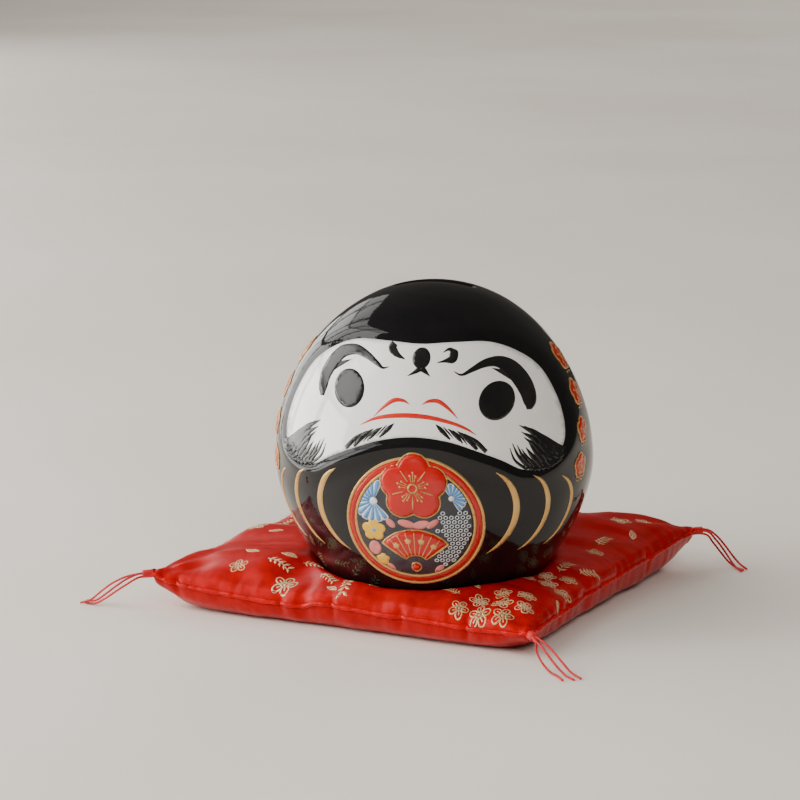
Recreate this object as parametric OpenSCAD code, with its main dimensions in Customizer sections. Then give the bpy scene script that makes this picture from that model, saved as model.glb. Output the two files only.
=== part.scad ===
// Round ceramic coin bank in the shape of a daruma doll, with a rubber stopper in its base,
// resting on its own square satin cushion with a three-strand tassel at each corner.
// Millimetres, +Z up. The origin is the centre of the cushion's underside, on the table.
// The doll faces -Y.

/* [Doll] */
// Largest diameter of the doll
doll_d = 120; // [110:1:130]
// Height of the dome above the widest level
dome_h = 66.8; // [62:0.2:72]
// Depth of the belly below the widest level, down to the foot
belly_h = 48; // [44:0.5:52]
// Diameter of the foot ring
foot_d = 66; // [60:1:70]
// Wall of the slip-cast shell
wall = 4.5; // [3.5:0.5:5.5]
// Height of the foot above the table, pressed into the cushion
foot_z = 10; // [9:0.5:11]
// Place of the doll's axis on the cushion, left to right
doll_x = 5; // [0:1:8]
// Place of the doll's axis on the cushion, front to back
doll_y = -26.5; // [-28:0.5:-20]

/* [Coin slot] */
// Length of the coin slot
slot_l = 30; // [28:0.5:32]
// Width of the coin slot
slot_w = 4.4; // [4.2:0.1:5]

/* [Base and stopper] */
// Diameter of the hole in the base
hole_d = 30; // [26:1:32]
// Depth of the recess inside the foot ring
foot_recess = 2.6; // [2.2:0.1:3]
// Diameter of the recess inside the foot ring
foot_recess_d = 50; // [46:1:54]
// Diameter of the stopper's flange
flange_d = 38; // [35:1:42]
// Thickness of the stopper's flange
flange_t = 1.8; // [1.6:0.1:2]
// Length of the stopper's plug above its flange
plug_l = 6; // [5:0.5:8]
// Clearance of the plug in the hole, on the radius
plug_gap = 0.05; // [0.03:0.01:0.08]

/* [Glaze and enamel relief] */
// Thickness of the white glaze field of the face
face_t = 0.5; // [0.4:0.1:0.8]
// Height of the medallion's ground above the belly
ground_t = 0.4; // [0.3:0.1:0.5]
// Height of the gilt lines above the belly
gilt_t = 0.7; // [0.6:0.1:0.8]
// Height of the red enamel relief above the belly
enamel_t = 1.2; // [1:0.1:1.5]

/* [Medallion] */
// Outer radius of the medallion, seen from the front
medal_r = 25.4; // [24:0.2:26]
// Radius where the outer gilt line meets the red band
band_r2 = 24.2; // [23.2:0.2:24.2]
// Radius where the red band meets the inner gilt line
band_r1 = 22.4; // [21.8:0.2:22.4]
// Radius of the ground inside the inner gilt line
ground_r = 21.2; // [20:0.2:21.2]
// Depth of the medallion's centre below the widest level
medal_drop = 13.5; // [13:0.5:14]
// Width of the gilt line around the red enamel
outline_w = 0.5; // [0.4:0.1:0.6]

/* [Cushion] */
// Side of the square cushion, corner to corner
side = 158; // [154:1:160]
// Turn of the cushion under the doll, in degrees
turn = -18.8; // [-20:0.2:-18]
// How far the sides pull in between the corners
waist = 3; // [2:0.5:4]
// Height of the seam at the middle of a side
seam_z = 10.5; // [10:0.5:11]
// Height of the seam at the three raised corners
corner_z = 14; // [13:0.5:15]
// Height of the seam at the front corner
front_corner_z = 9; // [8.5:0.5:10]
// Rise of the top above the seam, where nothing presses it
crown = 14; // [13:0.5:15]
// Thickness of the cover
cover_t = 0.6; // [0.5:0.1:0.8]
// Half the thickness of the folded seam allowance between the covers
hem_t = 0.4; // [0.3:0.1:0.6]
// Clearance between the cushion and the doll's foot
seat_gap = 0.6; // [0.5:0.1:0.8]

/* [Tassels] */
// Diameter of a tassel strand
strand_d = 1; // [0.9:0.1:1.1]
// Diameter of the whipping that binds the strands at a corner
knot_d = 3.2; // [3:0.1:3.4]
// Length of the whipping
knot_l = 4; // [3:0.5:5]

/* [Hidden] */

$fn = 96;
doll_r = doll_d / 2;
foot_r = foot_d / 2;
mid_z = foot_z + belly_h;
half = side / 2;
CURVE_STEPS = 16;
GRID = 22;

// Routes of the tassel strands, one list for each corner: [outwards, sideways, height above the table]
// from the corner's tip, the first point inside the whipping
ROUTES_RIGHT = [
    [[-3, 0.6, 14.3], [5, 0.6, 14.1], [8.4, -1.2, 12], [11, -3.6, 8.6], [13.2, -6.6, 4.8], [15, -10, 1.8],
        [16, -15, 0.6]],
    [[-3, -0.6, 14.3], [4.8, -0.8, 13.6], [7.4, -3.4, 10.8], [9.6, -6.2, 7.2], [11.2, -9.4, 3.6], [12.2, -12.8, 1.2],
        [12.6, -17.6, 0.6]],
    [[-3, 0, 13.3], [4.6, -0.1, 12.2], [7.4, -0.8, 9], [9.6, -3, 5.6], [11.6, -6.6, 2.2], [13.2, -10.6, 0.6],
        [14, -16, 0.6]]];
ROUTES_BACK = [
    [[0.5, 0.6, 14.3], [5, 0.7, 14.2], [9, 1.4, 12.2], [13, 2.6, 8.8], [17, 3.6, 5], [21, 4.6, 1.8], [27.5, 6, 0.6]],
    [[0.5, -0.6, 14.3], [5, -0.7, 14], [9.2, -0.6, 11.4], [13, 0, 7.6], [16.8, 0.8, 3.8], [21, 1.4, 1.2], [28, 1.4, 0.6]],
    [[0.5, 0, 13.3], [5, 0, 12.7], [8.6, -2, 9.8], [11.8, -2.6, 6], [15.2, -2.6, 2.6], [19.6, -2.4, 0.6],
        [27, -2.8, 0.6]]];
ROUTES_LEFT = [
    [[0.5, 0.6, 14.3], [5, 0.5, 14.3], [9.5, -2, 12.8], [13.8, -5.5, 9.8], [17.4, -9, 6], [20.4, -12.5, 2.4],
        [23.5, -16, 0.6]],
    [[0.5, -0.6, 14.3], [5, -0.8, 13.8], [8.8, -3.6, 11.4], [12, -7.4, 8], [15, -11.2, 4.4], [17.8, -14.8, 1.4],
        [20.5, -18.5, 0.6]],
    [[0.5, 0, 13.3], [5, 0, 12.6], [9.4, -1, 10], [13, -4, 6.8], [16.2, -7.8, 3.4], [19.2, -12.4, 0.8],
        [22, -17, 0.6]]];
ROUTES_FRONT = [
    [[0.5, 0.6, 9.3], [5, 0.8, 9.2], [9.5, 1.8, 8.4], [14.5, 3.2, 6.4], [19.5, 4.6, 3.8], [24.5, 6, 1.4],
        [30, 7.5, 0.6]],
    [[0.5, -0.6, 9.3], [5, -0.6, 9], [10, 0, 7.8], [15, 1, 5.4], [20, 2.4, 2.6], [25, 3.8, 0.6], [30.5, 4.6, 0.6]],
    [[0.5, 0, 8.3], [5, 0, 7.8], [9.5, -1.4, 5.8], [14.5, -1.2, 3], [19.5, 0, 0.8], [24.5, 0.8, 0.6],
        [30, 0.6, 0.6]]];
STRAND_SIDES = 8;

// Colours of the finishes
BLACK = [0.03, 0.03, 0.035];
WHITE = [0.95, 0.95, 0.93];
RED = [0.78, 0.03, 0.03];
GILT = [0.85, 0.6, 0.3];
SATIN = [0.82, 0.03, 0.04];

// ---- the doll's surface of revolution ----

// A point on a curve with four control values
function bezier(a, b, c, d, t) = pow(1 - t, 3) * a + 3 * pow(1 - t, 2) * t * b
    + 3 * (1 - t) * t * t * c + pow(t, 3) * d;

// The doll's outline from the foot up to the crown, moved outwards by out
function outline(out) = let (r = doll_r + out, top = dome_h + out, low = belly_h + out, fr = foot_r)
    concat(
        [for (i = [CURVE_STEPS : -1 : 1]) let (t = i / CURVE_STEPS)
            [bezier(r, r, fr + 0.32 * (r - fr), fr, t), -bezier(0, 0.37 * low, low, low, t)]],
        [for (i = [0 : CURVE_STEPS]) let (t = i / CURVE_STEPS)
            [bezier(r, r, 0.68 * r, 0, t), bezier(0, 0.375 * top, top, top, t)]]
    );

// The solid inside the doll's outline, moved outwards by out
module bulk(out) {
    translate([0, 0, mid_z])
        rotate_extrude()
            polygon(concat([[0, -belly_h - out]], outline(out)));
}

// What stands on the doll's surface up to height t, within a column pushed out to the front
module on_front(t, sink = 0) {
    intersection() {
        difference() {
            bulk(t);
            bulk(-sink);
        }
        translate([0, 0, mid_z])
            rotate([90, 0, 0])
                linear_extrude(height = doll_d)
                    children();
    }
}

// Moves the doll's pieces to their place on the cushion
module placed() {
    translate([doll_x, doll_y, 0])
        children();
}

// ---- shapes drawn on the doll, seen from the front with the widest level at zero ----

// The white field of the face, between the hood and the collar
module face_shape() {
    right = [[0, 49.5], [12, 50], [24, 49.5], [34, 45.5], [42, 39], [48, 29], [51, 20], [51.5, 13],
        [49, 8], [44, 5], [38, 5.5], [31, 9.5], [22, 13.5], [12, 17], [0, 18.5]];
    left = [for (i = [len(right) - 2 : -1 : 1]) [-right[i][0], right[i][1]]];
    polygon(concat(right, left));
}

// A plum blossom of five round petals
module blossom_shape(petal_r, ring_r) {
    circle(r = ring_r);
    for (k = [0 : 4])
        rotate(90 + 72 * k)
            translate([ring_r, 0])
                circle(r = petal_r);
}

// An open folding fan with its pivot at the bottom, spread to each side of upright
module fan_shape(r_out, r_in, spread, pivot_r) {
    intersection() {
        difference() {
            circle(r = r_out);
            circle(r = r_in);
        }
        polygon([[0, 0], [-2 * r_out * sin(spread), 2 * r_out * cos(spread)], [0, 3 * r_out],
            [2 * r_out * sin(spread), 2 * r_out * cos(spread)]]);
    }
    circle(r = pivot_r);
}

// The blossom and the fan at their places on the medallion, grown by grow
module medal_blossom(grow) {
    translate([0, 0.5])
        blossom_shape(5.6 + grow, 6.6);
}
module medal_fan(grow) {
    translate([0, -31])
        fan_shape(15 + grow, 5 - grow, 50 + 5 * grow, 1.5 + grow);
}

// ---- nodes of the doll ----

module ceramic_shell() {
    color(BLACK)
        placed()
            difference() {
                bulk(0);
                intersection() {
                    difference() {
                        bulk(0.5);
                        bulk(-face_t);
                    }
                    translate([0, 0, mid_z])
                        rotate([90, 0, 0])
                            linear_extrude(height = doll_d)
                                face_shape();
                }
                bulk(-wall);
                translate([0, 0, foot_z - 1])
                    cylinder(d = foot_recess_d, h = foot_recess + 1);
                translate([0, 0, foot_z - 1])
                    cylinder(d = hole_d, h = wall + foot_recess + 3);
                translate([0, 0, mid_z + dome_h / 2])
                    linear_extrude(height = dome_h)
                        for (s = [-1, 1])
                            translate([s * (slot_l - slot_w) / 2, 0])
                                circle(d = slot_w);
                translate([0, 0, mid_z + dome_h])
                    cube([slot_l - slot_w, slot_w, dome_h], center = true);
            }
}

module face_glaze() {
    color(WHITE)
        placed()
            on_front(0, face_t)
                face_shape();
}

module stopper() {
    flange_z = foot_z + foot_recess - flange_t;
    color([0.75, 0.73, 0.7])
        placed()
            difference() {
                union() {
                    translate([0, 0, flange_z])
                        cylinder(d = flange_d, h = flange_t);
                    translate([0, 0, flange_z])
                        cylinder(d = hole_d - 2 * plug_gap, h = flange_t + plug_l);
                }
                translate([0, 0, flange_z + flange_t + 1])
                    cylinder(d = hole_d - 6, h = plug_l);
                // two finger dents leave a pull bar across the middle
                for (s = [-1, 1])
                    translate([s * 6, 0, flange_z - 1])
                        intersection() {
                            cylinder(d = 9, h = 2.2);
                            translate([s * 4, 0, 0])
                                cube([9, 9, 9], center = true);
                        }
            }
}

// One gilt crescent: the space between two arcs of the same radius
module crescent(chord, bulge, thick) {
    r = (chord * chord / 4 + bulge * bulge) / (2 * bulge);
    translate([bulge - r, 0])
        intersection() {
            difference() {
                circle(r = r);
                translate([-thick, 0])
                    circle(r = r);
            }
            translate([r / 2 + 1, 0])
                square([r, chord + 1], center = true);
        }
}

// Three crescents on one side of the medallion, each turned about the doll's axis
module gilt_bands(hand) {
    color(GILT)
        placed()
            for (k = [0 : 2])
                rotate([0, 0, hand * (30 + 14.5 * k)])
                    on_front(gilt_t / 2)
                        translate([0, -10.5 - 1.2 * k])
                            scale([hand, 1])
                                crescent(32 - 2.5 * k, 9.5, 2.4 - 0.3 * k);
}

module gilt_bands_left() { gilt_bands(-1); }
module gilt_bands_right() { gilt_bands(1); }

module medallion_ground() {
    color([0.12, 0.12, 0.14])
        placed()
            on_front(ground_t)
                translate([0, -medal_drop])
                    difference() {
                        circle(r = ground_r);
                        translate([0, medal_drop])
                            medal_blossom(outline_w);
                        translate([0, medal_drop])
                            medal_fan(outline_w);
                    }
}

module medallion_band() {
    color(RED)
        placed()
            on_front(ground_t)
                difference() {
                    translate([0, -medal_drop])
                        circle(r = band_r2);
                    translate([0, -medal_drop])
                        circle(r = band_r1);
                    medal_blossom(outline_w);
                }
}

module medallion_gilt_lines() {
    color(GILT)
        placed()
            on_front(gilt_t)
                difference() {
                    translate([0, -medal_drop]) {
                        difference() {
                            circle(r = medal_r);
                            circle(r = band_r2);
                        }
                        difference() {
                            circle(r = band_r1);
                            circle(r = ground_r);
                        }
                    }
                    medal_blossom(outline_w);
                }
}

module blossom_relief() {
    color(RED)
        placed()
            on_front(enamel_t)
                medal_blossom(0);
}

module fan_relief() {
    color(RED)
        placed()
            on_front(enamel_t)
                medal_fan(0);
}

module relief_outline() {
    color(GILT)
        placed()
            on_front(gilt_t) {
                difference() {
                    medal_blossom(outline_w);
                    medal_blossom(0);
                }
                difference() {
                    medal_fan(outline_w);
                    medal_fan(0);
                }
            }
}

// Four small enamel blossoms in an arc up one side of the doll
module side_sprigs(hand) {
    color(RED)
        placed()
            for (spot = [[71, 2], [75, 14.5], [79, 27.5], [82, 40]])
                rotate([0, 0, hand * spot[0]])
                    on_front(gilt_t)
                        translate([0, spot[1]])
                            blossom_shape(2, 2.4);
}

module side_sprigs_left() { side_sprigs(-1); }
module side_sprigs_right() { side_sprigs(1); }

// ---- the cushion ----

// Height of the seam over the plan, where u and v run from -1 to 1 across the cushion
function corner_part(u, v) = pow((1 + u) * (1 + v) / 4, 3);
function seam_h(u, v) = seam_z + (corner_z - seam_z) * (corner_part(u, v) + corner_part(-u, v)
    + corner_part(-u, -v)) + (front_corner_z - seam_z) * corner_part(u, -v);

// How full the cushion is at a point, from 0 on the seam to 1 in the middle
function plump(u, v) = pow(max(0, (1 - u * u) * (1 - v * v)), 0.35);

// A point of the plan, with the sides pulled in between the corners
function plan(u, v) = let (x = half * u - waist * u * (1 - v * v), y = half * v - waist * v * (1 - u * u))
    [x * cos(turn) - y * sin(turn), x * sin(turn) + y * cos(turn)];

// Height of the bed that the doll presses into the top, at distance r from its axis
function bed(r) = let (d = max(0, r - foot_r)) foot_z - seat_gap + max(0, 0.27 * d + 0.045 * d * d - 3);

// The lower of two heights, with a soft change from one to the other
function soft_min(a, b) = -1.5 * ln(exp(-a / 1.5) + exp(-b / 1.5));

// Heights of the cover's upper and lower faces
function top_h(u, v) = let (s = seam_h(u, v) + hem_t + cover_t)
    plump(u, v) == 0 ? s : soft_min(s + crown * plump(u, v), bed(norm(plan(u, v) - [doll_x, doll_y])));
function bottom_h(u, v) = max(0, (seam_h(u, v) - hem_t - cover_t) * (1 - 1.25 * plump(u, v)));

// A point of the grid, at height number h above it
function grid_u(i) = 2 * i / GRID - 1;
function sheet(kind, lift) = [for (i = [0 : GRID]) for (j = [0 : GRID]) let (u = grid_u(i), v = grid_u(j))
    concat(plan(u, v), kind == "top" ? top_h(u, v) + lift : bottom_h(u, v) + lift)];
function cell(i, j) = i * (GRID + 1) + j;

// The closed solid between two sheets of grid points
module between(low, high) {
    n = (GRID + 1) * (GRID + 1);
    polyhedron(points = concat(low, high), faces = concat(
        [for (i = [0 : GRID - 1]) for (j = [0 : GRID - 1]) each
            [[cell(i, j), cell(i + 1, j), cell(i + 1, j + 1)], [cell(i, j), cell(i + 1, j + 1), cell(i, j + 1)]]],
        [for (i = [0 : GRID - 1]) for (j = [0 : GRID - 1]) each
            [[n + cell(i, j), n + cell(i + 1, j + 1), n + cell(i + 1, j)],
             [n + cell(i, j), n + cell(i, j + 1), n + cell(i + 1, j + 1)]]],
        [for (k = [0 : GRID - 1]) each concat(
            wall_quad(cell(k, 0), cell(k + 1, 0), n),
            wall_quad(cell(k + 1, GRID), cell(k, GRID), n),
            wall_quad(cell(0, k + 1), cell(0, k), n),
            wall_quad(cell(GRID, k), cell(GRID, k + 1), n))]
    ));
}
function wall_quad(a, b, n) = [[a, n + a, n + b], [a, n + b, b]];

module cushion_top_cover() {
    color(SATIN)
        between(sheet("top", -cover_t), sheet("top", 0));
}

module cushion_bottom_cover() {
    color(SATIN)
        between(sheet("bottom", 0), sheet("bottom", cover_t));
}

module cushion_filling() {
    color([0.93, 0.92, 0.88])
        between(sheet("bottom", cover_t), sheet("top", -cover_t));
}

// ---- the tassels ----

// Moves a corner's pieces from the cushion's centre out to the tip of corner k, counted from the right
module at_corner(k) {
    rotate([0, 0, turn + 45 + 90 * k])
        translate([half * sqrt(2), 0, 0])
            children();
}

// The whipping that binds three strands at a corner whose seam is at height h
module knot(k, h) {
    color(SATIN)
        at_corner(k)
            translate([-1, 0, h])
                rotate([0, 90, 0])
                    rotate_extrude($fn = 32)
                        polygon([[0, 0], [knot_d / 2 - 0.4, 0], [knot_d / 2, 0.8], [knot_d / 2, knot_l - 0.8],
                            [knot_d / 2 - 0.4, knot_l], [0, knot_l]]);
}

// The directions along and across a route at its point i
function unit(v) = v / norm(v);
function along(p, i) = unit(p[min(i + 1, len(p) - 1)] - p[max(i - 1, 0)]);
function ring(p, i) = let (t = along(p, i), s = unit(cross(t, [0, 0, 1])), w = cross(s, t))
    [for (k = [0 : STRAND_SIDES - 1]) let (a = 360 * k / STRAND_SIDES)
        p[i] + strand_d / 2 * (cos(a) * s + sin(a) * w)];

// One strand of a tassel, swept along its route
module strand(k, route) {
    n = len(route);
    m = STRAND_SIDES;
    color(SATIN)
        at_corner(k)
            polyhedron(points = [for (i = [0 : n - 1]) each ring(route, i)], faces = concat(
                [[for (j = [m - 1 : -1 : 0]) j]],
                [for (i = [0 : n - 2]) for (j = [0 : m - 1]) let (k2 = (j + 1) % m) each
                    [[i * m + j, i * m + k2, (i + 1) * m + k2], [i * m + j, (i + 1) * m + k2, (i + 1) * m + j]]],
                [[for (j = [0 : m - 1]) (n - 1) * m + j]]
            ));
}

module knot_right() { knot(0, corner_z); }
module knot_back() { knot(1, corner_z); }
module knot_left() { knot(2, corner_z); }
module knot_front() { knot(3, front_corner_z); }
module strand_right_1() { strand(0, ROUTES_RIGHT[0]); }
module strand_right_2() { strand(0, ROUTES_RIGHT[1]); }
module strand_right_3() { strand(0, ROUTES_RIGHT[2]); }
module strand_back_1() { strand(1, ROUTES_BACK[0]); }
module strand_back_2() { strand(1, ROUTES_BACK[1]); }
module strand_back_3() { strand(1, ROUTES_BACK[2]); }
module strand_left_1() { strand(2, ROUTES_LEFT[0]); }
module strand_left_2() { strand(2, ROUTES_LEFT[1]); }
module strand_left_3() { strand(2, ROUTES_LEFT[2]); }
module strand_front_1() { strand(3, ROUTES_FRONT[0]); }
module strand_front_2() { strand(3, ROUTES_FRONT[1]); }
module strand_front_3() { strand(3, ROUTES_FRONT[2]); }

ceramic_shell();
face_glaze();
stopper();
gilt_bands_left();
gilt_bands_right();
medallion_ground();
medallion_band();
medallion_gilt_lines();
blossom_relief();
fan_relief();
relief_outline();
side_sprigs_left();
side_sprigs_right();
cushion_top_cover();
cushion_bottom_cover();
cushion_filling();
knot_right();
knot_back();
knot_left();
knot_front();
strand_right_1();
strand_right_2();
strand_right_3();
strand_back_1();
strand_back_2();
strand_back_3();
strand_left_1();
strand_left_2();
strand_left_3();
strand_front_1();
strand_front_2();
strand_front_3();
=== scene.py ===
import math
import random

import bpy
import numpy as np
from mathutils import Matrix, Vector, geometry


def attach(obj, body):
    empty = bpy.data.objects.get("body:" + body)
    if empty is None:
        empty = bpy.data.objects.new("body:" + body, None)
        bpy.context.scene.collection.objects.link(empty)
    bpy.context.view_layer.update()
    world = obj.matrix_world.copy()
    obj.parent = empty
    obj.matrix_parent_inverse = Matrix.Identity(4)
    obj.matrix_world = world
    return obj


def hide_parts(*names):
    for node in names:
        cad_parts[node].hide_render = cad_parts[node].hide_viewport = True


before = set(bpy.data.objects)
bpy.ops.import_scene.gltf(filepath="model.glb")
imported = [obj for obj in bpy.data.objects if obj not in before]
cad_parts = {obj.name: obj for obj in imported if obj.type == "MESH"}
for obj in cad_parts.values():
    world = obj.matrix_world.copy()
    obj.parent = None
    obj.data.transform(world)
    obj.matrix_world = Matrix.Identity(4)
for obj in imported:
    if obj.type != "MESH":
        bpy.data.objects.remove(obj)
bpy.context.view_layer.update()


def put(name, data):
    """A new object in the scene, at the origin."""
    item = bpy.data.objects.new(name, data)
    bpy.context.scene.collection.objects.link(item)
    return item


def aim(item, place, target):
    item.location = place
    item.rotation_euler = (Vector(target) - Vector(place)).to_track_quat("-Z", "Y").to_euler()


camera = put("camera", bpy.data.cameras.new("camera"))
camera.data.lens = 144
camera.data.sensor_width = 36
camera.data.clip_end = 60
aim(camera, (0.1568, -1.1998, 0.3084), (-0.0079, -0.0283, 0.0792))
bpy.context.scene.camera = camera

# ---- Tassel strands ----
# Each corner of the cushion ends in three short two-ply rayon cords, about 32 mm long and 1 mm
# thick, that leave the corner's whipping, droop over the edge and lie with cut ends on the table.
MM = 0.001
HALF_SIDE = 79.0
TURN = math.radians(-18.8)
CORNERS = ["right", "back", "left", "front"]
STRAND_D = 1.0
STRAND_PITCH = 2.6
# [outwards, sideways, height] in mm from each corner's tip
ROUTES = {
    "right": [
        [[-3, 0.6, 14.3], [5, 0.6, 14.1], [8.4, -1.2, 12], [11, -3.6, 8.6], [13.2, -6.6, 4.8], [15, -10, 1.8],
         [16, -15, 0.6]], [[-3, -0.6, 14.3], [4.8, -0.8, 13.6], [7.4, -3.4, 10.8], [9.6, -6.2, 7.2],
                           [11.2, -9.4, 3.6], [12.2, -12.8, 1.2], [12.6, -17.6, 0.6]],
        [[-3, 0, 13.3], [4.6, -0.1, 12.2], [7.4, -0.8, 9], [9.6, -3, 5.6], [11.6, -6.6, 2.2],
         [13.2, -10.6, 0.6], [14, -16, 0.6]]], "back": [
             [[0.5, 0.6, 14.3], [5, 0.7, 14.2], [9, 1.4, 12.2], [13, 2.6, 8.8], [17, 3.6, 5], [21, 4.6, 1.8],
              [27.5, 6, 0.6]], [[0.5, -0.6, 14.3], [5, -0.7, 14], [9.2, -0.6, 11.4], [13, 0, 7.6],
                                [16.8, 0.8, 3.8], [21, 1.4, 1.2], [28, 1.4, 0.6]],
             [[0.5, 0, 13.3], [5, 0, 12.7], [8.6, -2, 9.8], [11.8, -2.6, 6], [15.2, -2.6, 2.6],
              [19.6, -2.4, 0.6], [27, -2.8, 0.6]]], "left": [
                  [[0.5, 0.6, 14.3], [5, 0.5, 14.3], [9.5, -2, 12.8], [13.8, -5.5, 9.8], [17.4, -9, 6],
                   [20.4, -12.5, 2.4], [23.5, -16, 0.6]],
                  [[0.5, -0.6, 14.3], [5, -0.8, 13.8], [8.8, -3.6, 11.4], [12, -7.4, 8], [15, -11.2, 4.4],
                   [17.8, -14.8, 1.4], [20.5, -18.5, 0.6]],
                  [[0.5, 0, 13.3], [5, 0, 12.6], [9.4, -1, 10], [13, -4, 6.8], [16.2, -7.8, 3.4],
                   [19.2, -12.4, 0.8], [22, -17, 0.6]]], "front": [
                       [[0.5, 0.6, 9.3], [5, 0.8, 9.2], [9.5, 1.8, 8.4], [14.5, 3.2, 6.4], [19.5, 4.6, 3.8],
                        [24.5, 6, 1.4], [30, 7.5, 0.6]],
                       [[0.5, -0.6, 9.3], [5, -0.6, 9], [10, 0, 7.8], [15, 1, 5.4], [20, 2.4, 2.6],
                        [25, 3.8, 0.6], [30.5, 4.6, 0.6]],
                       [[0.5, 0, 8.3], [5, 0, 7.8], [9.5, -1.4, 5.8], [14.5, -1.2, 3], [19.5, 0, 0.8],
                        [24.5, 0.8, 0.6], [30, 0.6, 0.6]]],
}


def corner_heading(k):
    return TURN + math.radians(45 + 90 * k)


def at_corner(k, points):
    """Points of corner k's own frame, in mm, moved out to the corner's tip and turned, in metres."""
    a = corner_heading(k)
    out, side, up = np.asarray(points, float).T
    out = out + HALF_SIDE * math.sqrt(2)
    return np.stack([out * math.cos(a) - side * math.sin(a), out * math.sin(a) + side * math.cos(a), up],
                    1) * MM


def smooth_line(points, steps, closed=False):
    """A curve through the points, with the given number of steps between two of them."""
    p = np.asarray(points, float)
    ring = np.vstack([p[-1:], p, p[:2]]) if closed else np.vstack([2 * p[0] - p[1], p, 2 * p[-1] - p[-2]])
    out = []
    for a, b, c, d in zip(ring, ring[1:], ring[2:], ring[3:]):
        for t in np.arange(steps) / steps:
            out.append(0.5 * (2 * b + (c - a) * t + (2 * a - 5 * b + 4 * c - d) * t * t
                              + (3 * b - a - 3 * c + d) * t ** 3))
    return np.array(out if closed else out + [p[-1]])


def curve_through(path, closed=False):
    """A curve of straight runs through points in metres."""
    line = bpy.data.curves.new("line", "CURVE")
    line.dimensions = "3D"
    spline = line.splines.new("POLY")
    spline.points.add(len(path) - 1)
    spline.points.foreach_set("co", np.c_[path, np.ones(len(path))].ravel())
    spline.use_cyclic_u = closed
    return line


def add(tree, kind, links=None, **settings):
    """Adds a node, sets it, and joins or fills its inputs; gives back its outputs."""
    node = tree.nodes.new(kind)
    for key, value in settings.items():
        setattr(node, key, value)
    for key, value in (links or {}).items():
        if isinstance(value, bpy.types.NodeSocket):
            tree.links.new(value, node.inputs[key])
        else:
            node.inputs[key].default_value = value
    return node.outputs


def maths(tree, operation, *values):
    return add(tree, "ShaderNodeMath", dict(enumerate(values)), operation=operation)[0]


def new_maker(name, **kinds):
    """An empty Geometry Nodes tree with named inputs; gives back the tree and its inputs."""
    tree = bpy.data.node_groups.new(name, "GeometryNodeTree")
    tree.interface.new_socket("Geometry", in_out="OUTPUT", socket_type="NodeSocketGeometry")
    tree.interface.new_socket("Geometry", in_out="INPUT", socket_type="NodeSocketGeometry")
    for label, kind in kinds.items():
        tree.interface.new_socket(label.replace("_", " "), in_out="INPUT", socket_type="NodeSocket" + kind)
    return tree, add(tree, "NodeGroupInput")


def end_maker(tree, shape, finish):
    whole = add(tree, "GeometryNodeRealizeInstances", {"Geometry": shape})[0]
    dressed = add(tree, "GeometryNodeSetMaterial", {"Geometry": whole, "Material": finish})[0]
    add(tree, "NodeGroupOutput", {0: dressed})


def made(name, tree, base, **values):
    """The plain mesh object that a tree makes from a base."""
    source = put(name + "_source", base)
    maker = source.modifiers.new("maker", "NODES")
    maker.node_group = tree
    for item in tree.interface.items_tree:
        if item.in_out == "INPUT" and item.name.replace(" ", "_") in values:
            maker[item.identifier] = values[item.name.replace(" ", "_")]
    seen = bpy.context.evaluated_depsgraph_get()
    mesh = bpy.data.meshes.new_from_object(source.evaluated_get(seen), preserve_all_data_layers=True,
                                           depsgraph=seen)
    bpy.data.objects.remove(source)
    mesh.shade_smooth()
    return put(name, mesh)


def new_finish(name, **constants):
    """A material with one Principled shader; gives back the material, its tree and the shader's inputs."""
    mat = bpy.data.materials.new(name)
    mat.use_nodes = True
    tree = mat.node_tree
    tree.nodes.clear()
    shader = tree.nodes.new("ShaderNodeBsdfPrincipled")
    for key, value in constants.items():
        shader.inputs[key.replace("_", " ")].default_value = value
    add(tree, "ShaderNodeOutputMaterial", {"Surface": shader.outputs[0]})
    return mat, tree, shader.inputs


def ramp(tree, value, *stops):
    """A colour ramp through (position, colour) stops."""
    node = tree.nodes.new("ShaderNodeValToRGB")
    while len(node.color_ramp.elements) < len(stops):
        node.color_ramp.elements.new(0.5)
    for element, (place, colour) in zip(node.color_ramp.elements, stops):
        element.position = place
        element.color = (*colour, 1)
    tree.links.new(value, node.inputs[0])
    return node.outputs[0]


def new_effect(name, inputs, outputs):
    """An empty shader node group; inputs are {name: (kind, value)}, outputs {name: kind}."""
    group = bpy.data.node_groups.new(name, "ShaderNodeTree")
    for label, (kind, value) in inputs.items():
        socket = group.interface.new_socket(label, in_out="INPUT", socket_type="NodeSocket" + kind)
        if value is not None:
            socket.default_value = value
    for label, kind in outputs.items():
        group.interface.new_socket(label, in_out="OUTPUT", socket_type="NodeSocket" + kind)
    return group, add(group, "NodeGroupInput")


# Fibres: streaks of lighter and darker filament in twisted or woven silk-like yarn
fibres, given = new_effect("fibre_streaks", {"Vector": ("Vector", None), "Scale": ("Float", 900.0)},
                           {"Streak": "Float", "Height": "Float"})
fine = add(fibres, "ShaderNodeTexNoise", {"Vector": given[0], "Scale": given[1], "Detail": 2.0})[0]
broad = add(fibres, "ShaderNodeTexNoise", {"Vector": given[0], "Scale": 90.0, "Detail": 3.0})[0]
add(fibres, "NodeGroupOutput", {0: maths(fibres, "ADD", maths(fibres, "MULTIPLY", fine, 0.5),
                                         maths(fibres, "MULTIPLY", broad, 0.5)), 1: fine})


def fibre_nodes(tree, vector, scale):
    node = tree.nodes.new("ShaderNodeGroup")
    node.node_tree = fibres
    tree.links.new(vector, node.inputs[0])
    node.inputs[1].default_value = scale
    return node.outputs


def object_place(tree):
    return add(tree, "ShaderNodeTexCoord")["Object"]


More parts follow.
